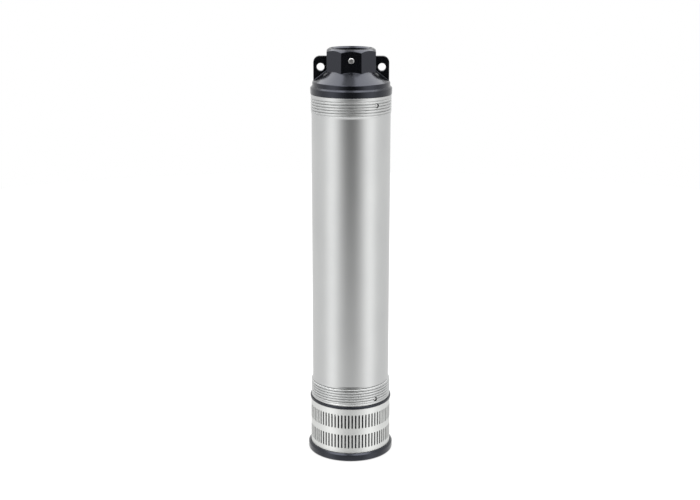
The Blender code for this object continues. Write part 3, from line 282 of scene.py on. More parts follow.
def buildWorld(s):  # Map Range takes a value, its start and end, and what comes out at both
    world = bpy.data.worlds.new("softStudio")
    scene.world = world
    world.use_nodes = True
    tree = world.node_tree
    tree.nodes.clear()
    direction = addNode(tree, "ShaderNodeTexCoord").outputs["Generated"]
    axes = addNode(tree, "ShaderNodeSeparateXYZ", {0: direction}).outputs
    towards = addNode(tree, "ShaderNodeMath", {0: axes["Y"], 1: -1.0}, operation="MULTIPLY")
    turn = addNode(tree, "ShaderNodeMath", {0: axes["X"], 1: towards}, operation="ARCTAN2")
    side = addNode(tree, "ShaderNodeMath", {0: turn}, operation="ABSOLUTE")
    azimuth = addNode(tree, "ShaderNodeMath", {0: side}, operation="DEGREES")
    rise = addNode(tree, "ShaderNodeMath", {0: axes["Z"]}, operation="ARCSINE")
    height = addNode(tree, "ShaderNodeMath", {0: rise}, operation="DEGREES")
    darkWide = addNode(tree, "ShaderNodeMapRange", {
        0: azimuth, 1: s.darkAcross[0], 2: s.darkAcross[1], 3: 1.0, 4: 0.0}, interpolation_type="SMOOTHSTEP")
    darkLow = addNode(tree, "ShaderNodeMapRange", {
        0: height, 1: s.darkBelow[0], 2: s.darkBelow[1], 3: 0.0, 4: 1.0}, interpolation_type="SMOOTHSTEP")
    darkHigh = addNode(tree, "ShaderNodeMapRange", {
        0: height, 1: s.darkAbove[0], 2: s.darkAbove[1], 3: 1.0, 4: 0.0}, interpolation_type="SMOOTHSTEP")
    darkTall = addNode(tree, "ShaderNodeMath", {0: darkLow, 1: darkHigh}, operation="MULTIPLY")
    dark = addNode(tree, "ShaderNodeMath", {0: darkWide, 1: darkTall}, operation="MULTIPLY")
    coreWide = addNode(tree, "ShaderNodeMapRange", {
        0: azimuth, 1: s.coreAcross[0], 2: s.coreAcross[1], 3: 1.0, 4: 0.0}, interpolation_type="SMOOTHSTEP")
    coreTall = addNode(tree, "ShaderNodeMapRange", {
        0: height, 1: s.coreBelow[0], 2: s.coreBelow[1], 3: 0.0, 4: 1.0}, interpolation_type="SMOOTHSTEP")
    core = addNode(tree, "ShaderNodeMath", {0: coreWide, 1: coreTall}, operation="MULTIPLY")
    floorward = addNode(tree, "ShaderNodeMapRange", {
        0: height, 1: s.frontFade[0], 2: s.frontFade[1], 3: s.frontFloor, 4: s.frontDark},
        interpolation_type="SMOOTHSTEP")
    rising = addNode(tree, "ShaderNodeMapRange", {
        0: azimuth, 1: s.glowAt - s.glowWidth, 2: s.glowAt, 3: 0.0, 4: s.glow}, interpolation_type="SMOOTHSTEP")
    falling = addNode(tree, "ShaderNodeMapRange", {
        0: azimuth, 1: s.glowAt, 2: s.glowAt + s.glowWidth, 3: 1.0, 4: 0.0}, interpolation_type="SMOOTHSTEP")
    glow = addNode(tree, "ShaderNodeMath", {0: rising, 1: falling}, operation="MULTIPLY")
    walls = addNode(tree, "ShaderNodeMapRange", {
        0: height, 1: s.wallTop[0], 2: s.wallTop[1], 3: s.level, 4: s.ceiling}, interpolation_type="SMOOTHSTEP")
    lit = addNode(tree, "ShaderNodeMath", {0: glow, 1: walls}, operation="ADD")
    deepest = addNode(tree, "ShaderNodeMix", {0: core, 2: floorward, 3: 0.0})
    studio = addNode(tree, "ShaderNodeMix", {0: dark, 2: lit, 3: deepest})
    seen = addNode(tree, "ShaderNodeLightPath").outputs["Is Camera Ray"]
    strength = addNode(tree, "ShaderNodeMix", {0: seen, 2: studio, 3: 1.0})
    background = addNode(tree, "ShaderNodeBackground", {"Color": (1, 1, 1, 1), "Strength": strength})
    addNode(tree, "ShaderNodeOutputWorld", {"Surface": background})


def addFloor(s):  # matt paper that takes a faint shadow and isn't seen in the steel
    shape = bmesh.new()
    bmesh.ops.create_circle(shape, cap_ends=True, segments=s.segments, radius=s.radius * mm)
    bmesh.ops.translate(shape, verts=shape.verts, vec=(0, 0, -s.drop * mm))
    floor = standIn("studioFloor", shape)
    material = bpy.data.materials.new("paleFloorPaper")
    material.use_nodes = True
    tree = material.node_tree
    tree.nodes.clear()
    paper = addNode(tree, "ShaderNodeBsdfDiffuse", {"Color": linearColour(s.paint)})
    white = addNode(tree, "ShaderNodeEmission", {"Color": (1, 1, 1, 1), "Strength": 1.0})
    clear = addNode(tree, "ShaderNodeBsdfTransparent")
    path = addNode(tree, "ShaderNodeLightPath").outputs
    share = addNode(tree, "ShaderNodeMath", {
        0: path["Is Camera Ray"], 1: 1.0 - s.shadowShare}, operation="MULTIPLY")
    mirrored = addNode(tree, "ShaderNodeMath", {
        0: path["Is Glossy Ray"], 1: path["Is Transmission Ray"]}, operation="MAXIMUM")
    seen = addNode(tree, "ShaderNodeMixShader", {0: share, 1: paper, 2: white})
    whole = addNode(tree, "ShaderNodeMixShader", {0: mirrored, 1: seen, 2: clear})
    addNode(tree, "ShaderNodeOutputMaterial", {"Surface": whole})
    floor.data.materials.append(material)


def addSoftboxes(boxes):
    for name, settings in boxes.items():
        s = named(settings)
        data = bpy.data.lights.new(name, "AREA")
        data.shape = "RECTANGLE"
        data.size, data.size_y = s.size[0] * mm, s.size[1] * mm
        data.energy = s.power
        lamp = linked(name, data)
        lamp.location = Vector(s.at) * mm
        lamp.rotation_euler = (Vector(s.at) - Vector(s.aim)).to_track_quat("Z", "Y").to_euler()
        lamp.visible_camera = False


addCamera(named(cameraSetup))
buildWorld(named(worldSetup))
addFloor(named(floorSetup))
addSoftboxes(softboxes)
print("camera, light and floor are set")

# Each finish has its constants and one or two patterns, and some name a slot. A pattern is noise, or a wave in bands
# or rings, and can set the roughness (low, high), the colour (dark, light) and a bump (strength, depth in mm).
finishes = {
    # AISI 304 tube, drawn and belt polished: satin, with 0.5 mm hair lines that run round it.
    "tube": {
        "name": "satinStainlessTube", "slot": "brushed_steel", "colour": "#C3C4C3", "roughness": 0.33,
        "metallic": 1.0, "sockets": {"Anisotropic": 0.25},
        "patterns": [{"scale": 60.0, "detail": 3.0, "stretch": (0.35, 0.35, 30.0), "rough": (0.27, 0.39),
                      "bump": (0.06, 0.05)},
                     {"scale": 35.0, "stretch": (1, 1, 0.5), "tint": ("#BDBEBE", "#C9CAC9")}]},
    # AISI 304 sheet, punched: paler and more matt than the tube, with 1.4 mm mottling from tumbling.
    "sheet": {
        "name": "tumbledStainlessSheet", "slot": "slotted_steel", "colour": "#D9DAD8", "roughness": 0.46,
        "metallic": 1.0,
        "patterns": [{"scale": 700.0, "detail": 3.0, "rough": (0.40, 0.52), "tint": ("#D2D3D1", "#DFE0DE"),
                      "bump": (0.08, 0.04)}]},
    # Glass-filled nylon, moulded black: a cold soft gloss, faint flow marks and a 0.7 mm spark-eroded grain.
    "nylon": {
        "name": "mouldedBlackNylon", "slot": "black_plastic", "colour": "#050608", "roughness": 0.20,
        "sockets": {"IOR": 1.53, "Specular Tint": linearColour("#E6EBFF")},
        "patterns": [{"scale": 60.0, "detail": 3.0, "rough": (0.17, 0.24), "tint": ("#030405", "#07080A")},
                     {"scale": 1400.0, "bump": (0.10, 0.03)}]},
    # A2 stainless screw, cold headed and bright.
    "screw": {
        "name": "brightStainlessScrew", "slot": "bright_steel", "colour": "#CBCBCA", "roughness": 0.30,
        "metallic": 1.0, "patterns": [{"scale": 900.0, "rough": (0.24, 0.38), "tint": ("#C2C2C1", "#D2D2D1")}]},
    # Ground and polished stainless shaft steel: faint turning lines.
    "shaft": {
        "name": "groundShaftSteel", "colour": "#C0C1C1", "roughness": 0.20, "metallic": 1.0,
        "patterns": [{"scale": 80.0, "stretch": (0.3, 0.3, 25.0), "rough": (0.14, 0.26),
                      "tint": ("#B9BABA", "#C7C8C8")}]},
    # Spring steel, hardened and blued grey.
    "spring": {
        "name": "springSteel", "slot": "bright_steel", "colour": "#8F9296", "roughness": 0.30, "metallic": 1.0,
        "patterns": [{"scale": 300.0, "rough": (0.24, 0.36), "tint": ("#85888D", "#999CA0")}]},
    # Electrical steel: 0.5 mm sheets in a stack, with dark varnish between them.
    "laminations": {
        "name": "stackedElectricalSteel", "colour": "#6C6D70", "roughness": 0.45, "metallic": 0.9,
        "patterns": [{"wave": {"wave_type": "BANDS", "bands_direction": "Z"}, "values": {"Scale": 100.0},
                      "rough": (0.55, 0.38), "tint": ("#4A4B4E", "#808184")}]},
    # Grey iron casting, primed: pebbled and dull.
    "iron": {
        "name": "primedCastIron", "colour": "#4A4C4E", "roughness": 0.62, "metallic": 0.3,
        "patterns": [{"scale": 900.0, "detail": 4.0, "tint": ("#3D3F41", "#56585A"), "bump": (0.35, 0.12)}]},
    # Moulded PPO with glass fibre: flat dark grey.
    "ppo": {
        "name": "mouldedGreyPpo", "colour": "#4B4C50", "roughness": 0.48,
        "patterns": [{"scale": 120.0, "detail": 3.0, "rough": (0.42, 0.55), "tint": ("#44454A", "#525358")}]},
    # Natural acetal: off-white, slightly waxy.
    "acetal": {
        "name": "naturalAcetal", "slot": "moulded_white", "colour": "#DEDBD2", "roughness": 0.38,
        "sockets": {"Subsurface Weight": 0.15, "Subsurface Scale": 0.002},
        "patterns": [{"scale": 90.0, "rough": (0.33, 0.45), "tint": ("#D8D5CB", "#E4E1D9")}]},
    # Nitrile rubber: matt black with a dusty bloom.
    "rubber": {
        "name": "nitrileRubber", "slot": "rubber", "colour": "#17181A", "roughness": 0.72,
        "patterns": [{"scale": 250.0, "detail": 3.0, "rough": (0.65, 0.82), "tint": ("#131416", "#1E1F21")}]},
    # Lapped alumina: cream white and smooth.
    "alumina": {
        "name": "lappedAlumina", "colour": "#E8E4DA", "roughness": 0.18, "sockets": {"IOR": 1.76},
        "patterns": [{"scale": 400.0, "tint": ("#E3DFD4", "#EDEAE1")}]},
    # Enamelled copper wire, 0.7 mm, wound and varnished: amber strands, whose colour carries painted shade in the
    # grooves between them and a painted highlight on their crests.
    "winding": {
        "name": "enamelledCopperWinding", "colour": "#A8602F", "roughness": 0.32, "metallic": 0.85,
        "patterns": [{"wave": {"wave_type": "RINGS", "rings_direction": "Z"},
                      "values": {"Scale": 225.0, "Distortion": 2.0},
                      # the tint follows the bump: painted shade in the grooves between strands, painted highlight on
                      # their crests
                      "tint": ("#7A3F1C", "#C07A41"), "bump": (0.5, 0.2)}]},
}


def patternValue(tree, s):  # a 0 to 1 pattern on Object coordinates
    place = addNode(tree, "ShaderNodeTexCoord").outputs["Object"]
    if "wave" in s:
        return addNode(tree, "ShaderNodeTexWave", {"Vector": place, **s["values"]}, **s["wave"]).outputs["Fac"]
    mapped = addNode(tree, "ShaderNodeMapping", {"Vector": place, "Scale": s.get("stretch", (1, 1, 1))})
    return addNode(tree, "ShaderNodeTexNoise", {
        "Vector": mapped, "Scale": s["scale"], "Detail": s.get("detail", 2.0)}).outputs["Fac"]


def makeFinish(s):
    material = bpy.data.materials.new(s["name"])
    material.use_nodes = True
    colour = linearColour(s["colour"])
    material.diffuse_color = colour
    tree = material.node_tree
    shader = tree.nodes["Principled BSDF"].inputs
    constants = {"Base Color": colour, "Roughness": s["roughness"], "Metallic": s.get("metallic", 0.0)}
    for name, value in {**constants, **s.get("sockets", {})}.items():
        shader[name].default_value = value
    for pattern in s["patterns"]:
        value = patternValue(tree, pattern)
        if "rough" in pattern:
            low, high = pattern["rough"]
            spread = addNode(tree, "ShaderNodeMapRange", {"Value": value, "To Min": low, "To Max": high})
            tree.links.new(spread.outputs[0], shader["Roughness"])
        if "tint" in pattern:
            dark, light = map(linearColour, pattern["tint"])
            mix = addNode(tree, "ShaderNodeMix", {0: value, 6: dark, 7: light}, data_type="RGBA")
            tree.links.new(mix.outputs[2], shader["Base Color"])
        if "bump" in pattern:
            strength, depth = pattern["bump"]
            bump = addNode(tree, "ShaderNodeBump", {"Height": value, "Strength": strength, "Distance": depth * mm})
            tree.links.new(bump.outputs[0], shader["Normal"])
    return material


finish = {name: makeFinish(settings) for name, settings in finishes.items()}
print("finishes are mixed:", len(finish))


def newTree(name, inputs):  # a Geometry Nodes tree with named inputs, given as name and kind
    tree = bpy.data.node_groups.new(name, "GeometryNodeTree")
    for label, kind in inputs.items():
        tree.interface.new_socket(label, in_out="INPUT", socket_type="NodeSocket" + kind)
    tree.interface.new_socket("Geometry", in_out="OUTPUT", socket_type="NodeSocketGeometry")
    return tree, {socket.name: socket for socket in addNode(tree, "NodeGroupInput").outputs}


def giveMaterial(tree, geometry, material):  # the last nodes of a tree
    whole = addNode(tree, "GeometryNodeRealizeInstances", {0: geometry})
    coloured = addNode(tree, "GeometryNodeSetMaterial", {"Geometry": whole, "Material": material})
    addNode(tree, "NodeGroupOutput", {0: coloured})
    return tree


def ringOfPieces():  # copies of the host's mesh on equal steps round Z
    tree, given = newTree("ringOfPieces", {"Geometry": "Geometry", "Count": "Int", "First Angle": "Float",
                                           "Weld": "Float", "Material": "Material"})
    points = addNode(tree, "GeometryNodeMeshLine", {"Count": given["Count"], "Offset": (0, 0, 0)})
    step = addNode(tree, "ShaderNodeMath", {0: 2 * pi, 1: given["Count"]}, operation="DIVIDE")
    angle = addNode(tree, "ShaderNodeMath", {
        0: addNode(tree, "GeometryNodeInputIndex"), 1: step, 2: given["First Angle"]}, operation="MULTIPLY_ADD")
    turn = addNode(tree, "ShaderNodeCombineXYZ", {"Z": angle})
    copies = addNode(tree, "GeometryNodeInstanceOnPoints", {
        "Points": points, "Instance": given["Geometry"], "Rotation": turn})
    whole = addNode(tree, "GeometryNodeRealizeInstances", {0: copies})  # only real meshes can be welded
    welded = addNode(tree, "GeometryNodeMergeByDistance", {"Geometry": whole, "Distance": given["Weld"]})
    return giveMaterial(tree, welded, given["Material"])


def helicalBand():  # a turned band whose surface carries a helical groove: the rule of a rolled thread
    sizes = ("Radius", "Runout Radius", "Runout", "Low", "High", "Pitch", "Lead", "Depth", "Groove Share",
             "Fade Low", "Fade High")
    tree, given = newTree("helicalBand", {**{name: "Float" for name in sizes}, "Segments": "Int", "Rows": "Int",
                                          "Material": "Material"})
    grid = addNode(tree, "GeometryNodeMeshGrid", {"Size X": 1.0, "Size Y": 1.0, "Vertices X": given["Segments"],
                                                  "Vertices Y": given["Rows"]})
    axes = addNode(tree, "ShaderNodeSeparateXYZ", {0: addNode(tree, "GeometryNodeInputPosition")}).outputs
    around = addNode(tree, "ShaderNodeMath", {0: axes["X"], 1: 0.5}, operation="ADD")  # the grid starts at -0.5
    up = addNode(tree, "ShaderNodeMath", {0: axes["Y"], 1: 0.5}, operation="ADD")
    angle = addNode(tree, "ShaderNodeMath", {0: around, 1: 2 * pi}, operation="MULTIPLY")
    length = addNode(tree, "ShaderNodeMath", {0: given["High"], 1: given["Low"]}, operation="SUBTRACT")
    height = addNode(tree, "ShaderNodeMath", {0: up, 1: length, 2: given["Low"]}, operation="MULTIPLY_ADD")
    climb = addNode(tree, "ShaderNodeMath", {0: height, 1: given["Lead"]}, operation="SUBTRACT")
    turns = addNode(tree, "ShaderNodeMath", {0: climb, 1: given["Pitch"]}, operation="DIVIDE")
    helix = addNode(tree, "ShaderNodeMath", {0: turns, 1: around}, operation="SUBTRACT")
    # 100 whole turns keep the phase above nothing, and the half puts a groove's centre at a half
    positive = addNode(tree, "ShaderNodeMath", {0: helix, 1: 100.5}, operation="ADD")
    phase = addNode(tree, "ShaderNodeMath", {0: positive}, operation="FRACT")
    offset = addNode(tree, "ShaderNodeMath", {0: phase, 1: 0.5}, operation="SUBTRACT")
    offCentre = addNode(tree, "ShaderNodeMath", {0: offset}, operation="ABSOLUTE")
    groove = addNode(tree, "ShaderNodeMapRange", {
        0: offCentre, 1: 0.0, 2: given["Groove Share"], 3: 1.0, 4: 0.0}, interpolation_type="SMOOTHSTEP")
    fadeIn = addNode(tree, "ShaderNodeMapRange", {
        0: height, 1: given["Low"], 2: given["Fade Low"], 3: 0.0, 4: 1.0}, interpolation_type="SMOOTHSTEP")
    fadeOut = addNode(tree, "ShaderNodeMapRange", {
        0: height, 1: given["Fade High"], 2: given["High"], 3: 1.0, 4: 0.0}, interpolation_type="SMOOTHSTEP")
    fade = addNode(tree, "ShaderNodeMath", {0: fadeIn, 1: fadeOut}, operation="MULTIPLY")
    deep = addNode(tree, "ShaderNodeMath", {0: groove, 1: given["Depth"]}, operation="MULTIPLY")
    cut = addNode(tree, "ShaderNodeMath", {0: deep, 1: fade}, operation="MULTIPLY")
    runoutTop = addNode(tree, "ShaderNodeMath", {0: given["Low"], 1: given["Runout"]}, operation="ADD")
    plain = addNode(tree, "ShaderNodeMapRange", {
        0: height, 1: given["Low"], 2: runoutTop, 3: given["Runout Radius"], 4: given["Radius"]},
        interpolation_type="SMOOTHSTEP")
    radius = addNode(tree, "ShaderNodeMath", {0: plain, 1: cut}, operation="SUBTRACT")
    cosine = addNode(tree, "ShaderNodeMath", {0: angle}, operation="COSINE")
    sine = addNode(tree, "ShaderNodeMath", {0: angle}, operation="SINE")
    across = addNode(tree, "ShaderNodeMath", {0: radius, 1: cosine}, operation="MULTIPLY")
    along = addNode(tree, "ShaderNodeMath", {0: radius, 1: sine}, operation="MULTIPLY")
    spot = addNode(tree, "ShaderNodeCombineXYZ", {"X": across, "Y": along, "Z": height})
    moved = addNode(tree, "GeometryNodeSetPosition", {"Geometry": grid, "Position": spot})
    return giveMaterial(tree, moved, given["Material"])


ringTree = ringOfPieces()
threadTree = helicalBand()


def grownMesh(host, tree, finishName, values):  # runs a tree on a host object and keeps the mesh
    modifier = host.modifiers.new(tree.name, "NODES")
    modifier.node_group = tree
    values = {**values, "Material": finish[finishName]}
    for item in tree.interface.items_tree:
        if item.item_type == "SOCKET" and item.in_out == "INPUT" and item.name in values:
            modifier[item.identifier] = values[item.name]
    return evaluatedMesh(host)


def threadedBand(finishName, sizes):  # sizes in mm, counts and the share plain
    unscaled = ("Groove Share", "Segments", "Rows")
    values = {name: value if name in unscaled else value * mm for name, value in sizes.items()}
    return grownMesh(standIn("bandHost", bmesh.new()), threadTree, finishName, values)


shell = {
    "segments": 224, "radius": 44.0, "wall": 0.9, "bottom": 66.2, "top": 418.8, "edge": 0.45, "boreEdge": 0.2,
    "bandHeight": 23.2, "runout": 5.0, "pitch": 3.07, "grooveDepth": 1.45, "grooveShare": 0.27, "rows": 164,
    "upper": {"crest": 44.8, "lead": 409.3, "fade": 6.5, "plain": 6.3},  # plain: the groove is gone at the end
    "lower": {"crest": 45.7, "lead": 84.5, "fade": 2.6, "plain": 4.1},
    "guard": 0.6, "seam": 0.02,  # guard: rings that keep the shading even where a band starts
    "pits": [(44.8, 410.1), (45.7, 71.6)], "pitTurn": 39.0, "pitRadius": 2.6, "pitDepth": 3.4, "pitRise": 2.0,
}


def shellBand(s, band, start, end, lead):  # heights run from the plain middle of the tube to its end
    return threadedBand("tube", {
        "Radius": band["crest"], "Runout Radius": s.radius, "Runout": s.runout, "Low": start, "High": end - s.edge,
        "Pitch": s.pitch, "Lead": lead, "Depth": s.grooveDepth, "Groove Share": s.grooveShare,
        "Fade Low": start + band["fade"], "Fade High": end - band["plain"], "Segments": s.segments + 1,
        "Rows": s.rows})


def makeShell(s):
    bore = s.radius - s.wall
    upperLow, lowerHigh = s.top - s.bandHeight, s.bottom + s.bandHeight
    upper = shellBand(s, s.upper, upperLow, s.top, s.upper["lead"])
    lower = shellBand(s, s.lower, -lowerHigh, -s.bottom, -s.lower["lead"])
    lower.transform(Matrix.Rotation(pi, 4, "X"))  # upside down, so that it stays right-handed
    shape = shapeOf(upper, lower)
    middle = [(s.radius, z) for z in (lowerHigh, lowerHigh + s.guard, upperLow - s.guard, upperLow)]
    high, low = s.upper["crest"], s.lower["crest"]
    inside = rounded([(high, s.top - s.edge, 0), (high, s.top, s.edge), (bore, s.top, s.boreEdge),
                      (bore, s.bottom, s.boreEdge), (low, s.bottom, s.edge), (low, s.bottom + s.edge, 0)],
                     3, closed=False)
    for profile in (middle, inside):
        addTurned(shape, profile, s.segments, closed=False)
    weld(shape, s.seam)
    body = standIn("shellBody", outwards(shape))
    drill = bmesh.new()
    for radius, z in s.pits:
        addTurned(drill, [(0, s.pitRise), (s.pitRadius, s.pitRise), (s.pitRadius, -s.pitDepth), (0, -s.pitDepth)],
                  40, place=facing(s.pitTurn, radius, z))
    finishPiece("shellTube", carved(body, "lockPits", drill), "tube", 72, nodes=["outer_shell"])


makeShell(named(shell))
print("outer shell is turned and threaded")

strainer = {
    "slots": 72, "radius": 46.2, "wall": 0.9, "bottom": 3.3, "top": 62.7, "slotWidth": 1.8, "slotLength": 16.7,
    "rows": (14.9, 39.1), "endSteps": 6, "panelSeam": 0.002, "ringSeam": 0.004,
}


def slottedPanel(s):
    # One step of the sleeve with a slot in each row, cut from flat and rolled to the radius.
    half = pi / s.slots * s.radius
    w = s.slotWidth / 2
    inner = s.radius - s.wall
    ends = [(low + w, low + s.slotLength - w) for low in s.rows]
    levels = [s.bottom, *ends[0], *ends[1], s.top]

    def arc(z, side):  # the round end of a slot, from right to left
        turns = [pi * k / s.endSteps for k in range(s.endSteps + 1)]
        return [(w * cos(a), z + side * w * sin(a)) for a in turns]

    faces = []
    for low, high in zip(levels, levels[1:]):
        for left, right in ((-half, -w), (w, half)):
            faces.append([(left, low), (right, low), (right, high), (left, high)])
    faces.append([(-w, s.bottom), (w, s.bottom), *arc(ends[0][0], -1)])
    faces.append([*arc(ends[0][1], 1)[::-1], *arc(ends[1][0], -1)])
    faces.append([*arc(ends[1][1], 1)[::-1], (w, s.top), (-w, s.top)])
    shape = bmesh.new()

    def rolled(point, radius):
        angle = point[0] / s.radius
        return shape.verts.new((radius * mm * cos(angle), radius * mm * sin(angle), point[1] * mm))

    for face in faces:
        shape.faces.new([rolled(p, s.radius) for p in face])
        shape.faces.new([rolled(p, inner) for p in face[::-1]])
    for low, high in ends:
        hole = [*arc(low, -1), *arc(high, 1)[::-1]]
        for a, b in zip(hole, hole[1:] + hole[:1]):
            shape.faces.new([rolled(a, s.radius), rolled(b, s.radius), rolled(b, inner), rolled(a, inner)])
    for z, order in ((s.bottom, 1), (s.top, -1)):
        xs = (-half, -w, w, half)
        for a, b in zip(xs, xs[1:]):
            edge = [rolled((a, z), inner), rolled((b, z), inner), rolled((b, z), s.radius), rolled((a, z), s.radius)]
            shape.faces.new(edge[::order])
    weld(shape, s.panelSeam)
    return shape


def makeStrainer(s):
    mesh = grownMesh(standIn("panelHost", slottedPanel(s)), ringTree, "sheet", {
        "Count": s.slots, "First Angle": -pi / 2 + pi / s.slots, "Weld": s.ringSeam * mm})
    finishPiece("strainerSleeve", outwards(shapeOf(mesh)), "sheet", 40, nodes=["strainer"])


makeStrainer(named(strainer))
print("strainer sleeve is punched")

foot = {
    "segments": 160, "radius": 49.2, "height": 9.1, "floor": 3.0, "rimBore": 46.5, "upstand": 45.0,
    "upstandWall": 3.0, "upstandTop": 19.5, "rounding": 1.7, "lip": 0.3, "slopeAcross": 2.1, "slopeDown": 1.8,
    "screwCircle": 33.0, "screwHole": 1.9, "sinkRadius": 3.7, "sinkDepth": 1.9, "sinkEdge": 0.3,
}


def makeFoot(s):
    inside = s.upstand - s.upstandWall
    profile = rounded([
        (0, s.floor, 0), (inside, s.floor, 0.8), (inside, s.upstandTop, 0.4), (s.upstand, s.upstandTop, 0.4),
        (s.upstand, s.floor, 0), (s.rimBore, s.floor, 0), (s.rimBore, s.height, s.lip),
        (s.radius - s.slopeAcross, s.height, 0.3), (s.radius, s.height - s.slopeDown, 0.6),
        (s.radius, 0, s.rounding), (0, 0, 0)], 5)
    body = standIn("footBody", turnedShape(profile, s.segments))
    cutter = bmesh.new()
    sink = s.sinkRadius + s.sinkEdge
    for place in thirds(s.screwCircle):
        addTurned(cutter, [(0, -1), (sink, -1), (sink, 0), (s.sinkRadius, s.sinkEdge), (s.sinkRadius, s.sinkDepth),
                           (s.screwHole, s.sinkDepth), (s.screwHole, s.floor + 1), (0, s.floor + 1)], 32, place=place)
    finishPiece("footDish", carved(body, "footHoles", cutter), "nylon", nodes=["foot"])


base = {
    "segments": 160, "flangeRadius": 47.1, "bottom": 63.0, "thickness": 2.9, "spigotRadius": 42.8, "spigot": 18.0,
    "wall": 4.0, "floor": 5.0, "skirt": 45.0, "skirtReach": 5.0, "eye": 15.0, "flare": 4.0, "edge": 0.6,
    "grooveInset": 12.0, "grooveWidth": 3.2, "grooveDepth": 2.3,
    "legRadius": 5.0, "legHole": 1.9, "legCircle": 33.0, "legBottom": 3.3, "legSink": 0.4,
}


def makeSuctionBase(s):
    z, top = s.bottom, s.bottom + s.thickness
    grooveLow, grooveHigh = top + s.grooveInset, top + s.grooveInset + s.grooveWidth
    root = s.spigotRadius - s.grooveDepth
    inside, skirtInside, skirtLow = s.spigotRadius - s.wall, s.skirt - s.wall, z - s.skirtReach
    profile = rounded([
        (s.spigotRadius, top + s.spigot, 0.5), (s.spigotRadius, grooveHigh, 0.2), (root, grooveHigh, 0),
        (root, grooveLow, 0), (s.spigotRadius, grooveLow, 0.2), (s.spigotRadius, top, 0),
        (s.flangeRadius, top, s.edge), (s.flangeRadius, z, s.edge), (s.skirt, z, 0), (s.skirt, skirtLow, 0.4),
        (skirtInside, skirtLow, 0.4), (skirtInside, z, 1.0), (s.eye + s.flare, z, 0.8), (s.eye, z + s.flare, 1.5),
        (s.eye, z + s.floor, 0.3), (inside, z + s.floor, 1.0), (inside, top + s.spigot, 0.5)], 4)
    shape = turnedShape(profile, s.segments)
    leg = rounded([(s.legHole, s.legBottom, 0), (s.legRadius, s.legBottom, 0.4), (s.legRadius, z + s.legSink, 0),
                   (s.legHole, z + s.legSink, 0)], 3)
    for place in thirds(s.legCircle):
        addTurned(shape, leg, 40, place=place)
    finishPiece("suctionBase", outwards(shape), "nylon", nodes=["suction_base"])


panHead = {  # shares of the head's radius, of its height and of the recess
    "flat": 0.62, "crown": 0.6, "rim": 0.42, "rimRounding": 0.3, "blade": 0.30, "longTaper": 0.45, "wideTaper": 0.8,
    "recessTurn": 0.35,
}


def crossRecessHead(s, length, segments=48):
    # A pan head on its shank, with its top at +Z and a cross-shaped recess cut into it.
    p = named(panHead)
    body = standIn("screwBody", turnedShape(rounded([
        (0, s.height, 0), (p.flat * s.head, s.height, p.crown * s.height),
        (s.head, p.rim * s.height, p.rimRounding * s.height), (s.head, 0, 0.1), (s.shank, 0, 0),
        (s.shank, -length, 0.3), (0, -length, 0)], 4), segments))
    spent = []
    for turn in (0, pi / 2):
        blade = bmesh.new()
        r, w = s.recess, p.blade * s.recess / 2
        addPrism(blade, [(-r, -w), (r, -w), (r, w), (-r, w)], s.height - s.depth, s.height + 1)
        for v in blade.verts:  # the recess tapers inwards
            if v.co.z < s.height * mm:
                v.co.x *= p.longTaper
                v.co.y *= p.wideTaper
        bmesh.ops.rotate(blade, verts=blade.verts, matrix=Matrix.Rotation(turn + p.recessTurn, 3, "Z"))
        spent.append(standIn("recessBlade", blade))
        combined(body, spent[-1], "DIFFERENCE")
    return evaluatedMesh(body, spent)


tieScrew = {"head": 3.4, "height": 1.3, "shank": 1.6, "length": 21.7, "recess": 1.9, "depth": 1.1, "face": 1.6,
            "circle": 33.0}


def makeTieScrews(s):
    for k, place in enumerate(thirds(s.circle, s.face), 1):
        mesh = crossRecessHead(s, s.length)
        mesh.transform(place @ Matrix.Rotation(pi, 4, "X"))
        finishPiece(f"tieScrew{k}", mesh, "screw", nodes=[f"tie_screw_{k}"])


lockScrew = {"head": 1.9, "height": 1.2, "shank": 1.4, "tip": 39.8, "recess": 1.1, "depth": 0.55, "turn": 39.0,
             "seats": {"upper": (42.9, 410.1), "lower": (43.5, 71.6)}}


def makeLockScrews(s):
    for level, (seat, z) in s.seats.items():
        mesh = crossRecessHead(s, seat - s.tip, 40)
        mesh.transform(facing(s.turn, seat, z))
        finishPiece(f"{level}LockScrew", mesh, "screw", nodes=[f"shell_lock_screw_{level}"])


makeFoot(named(foot))
makeSuctionBase(named(base))
makeTieScrews(named(tieScrew))
makeLockScrews(named(lockScrew))
print("foot, suction base and screws are in place")

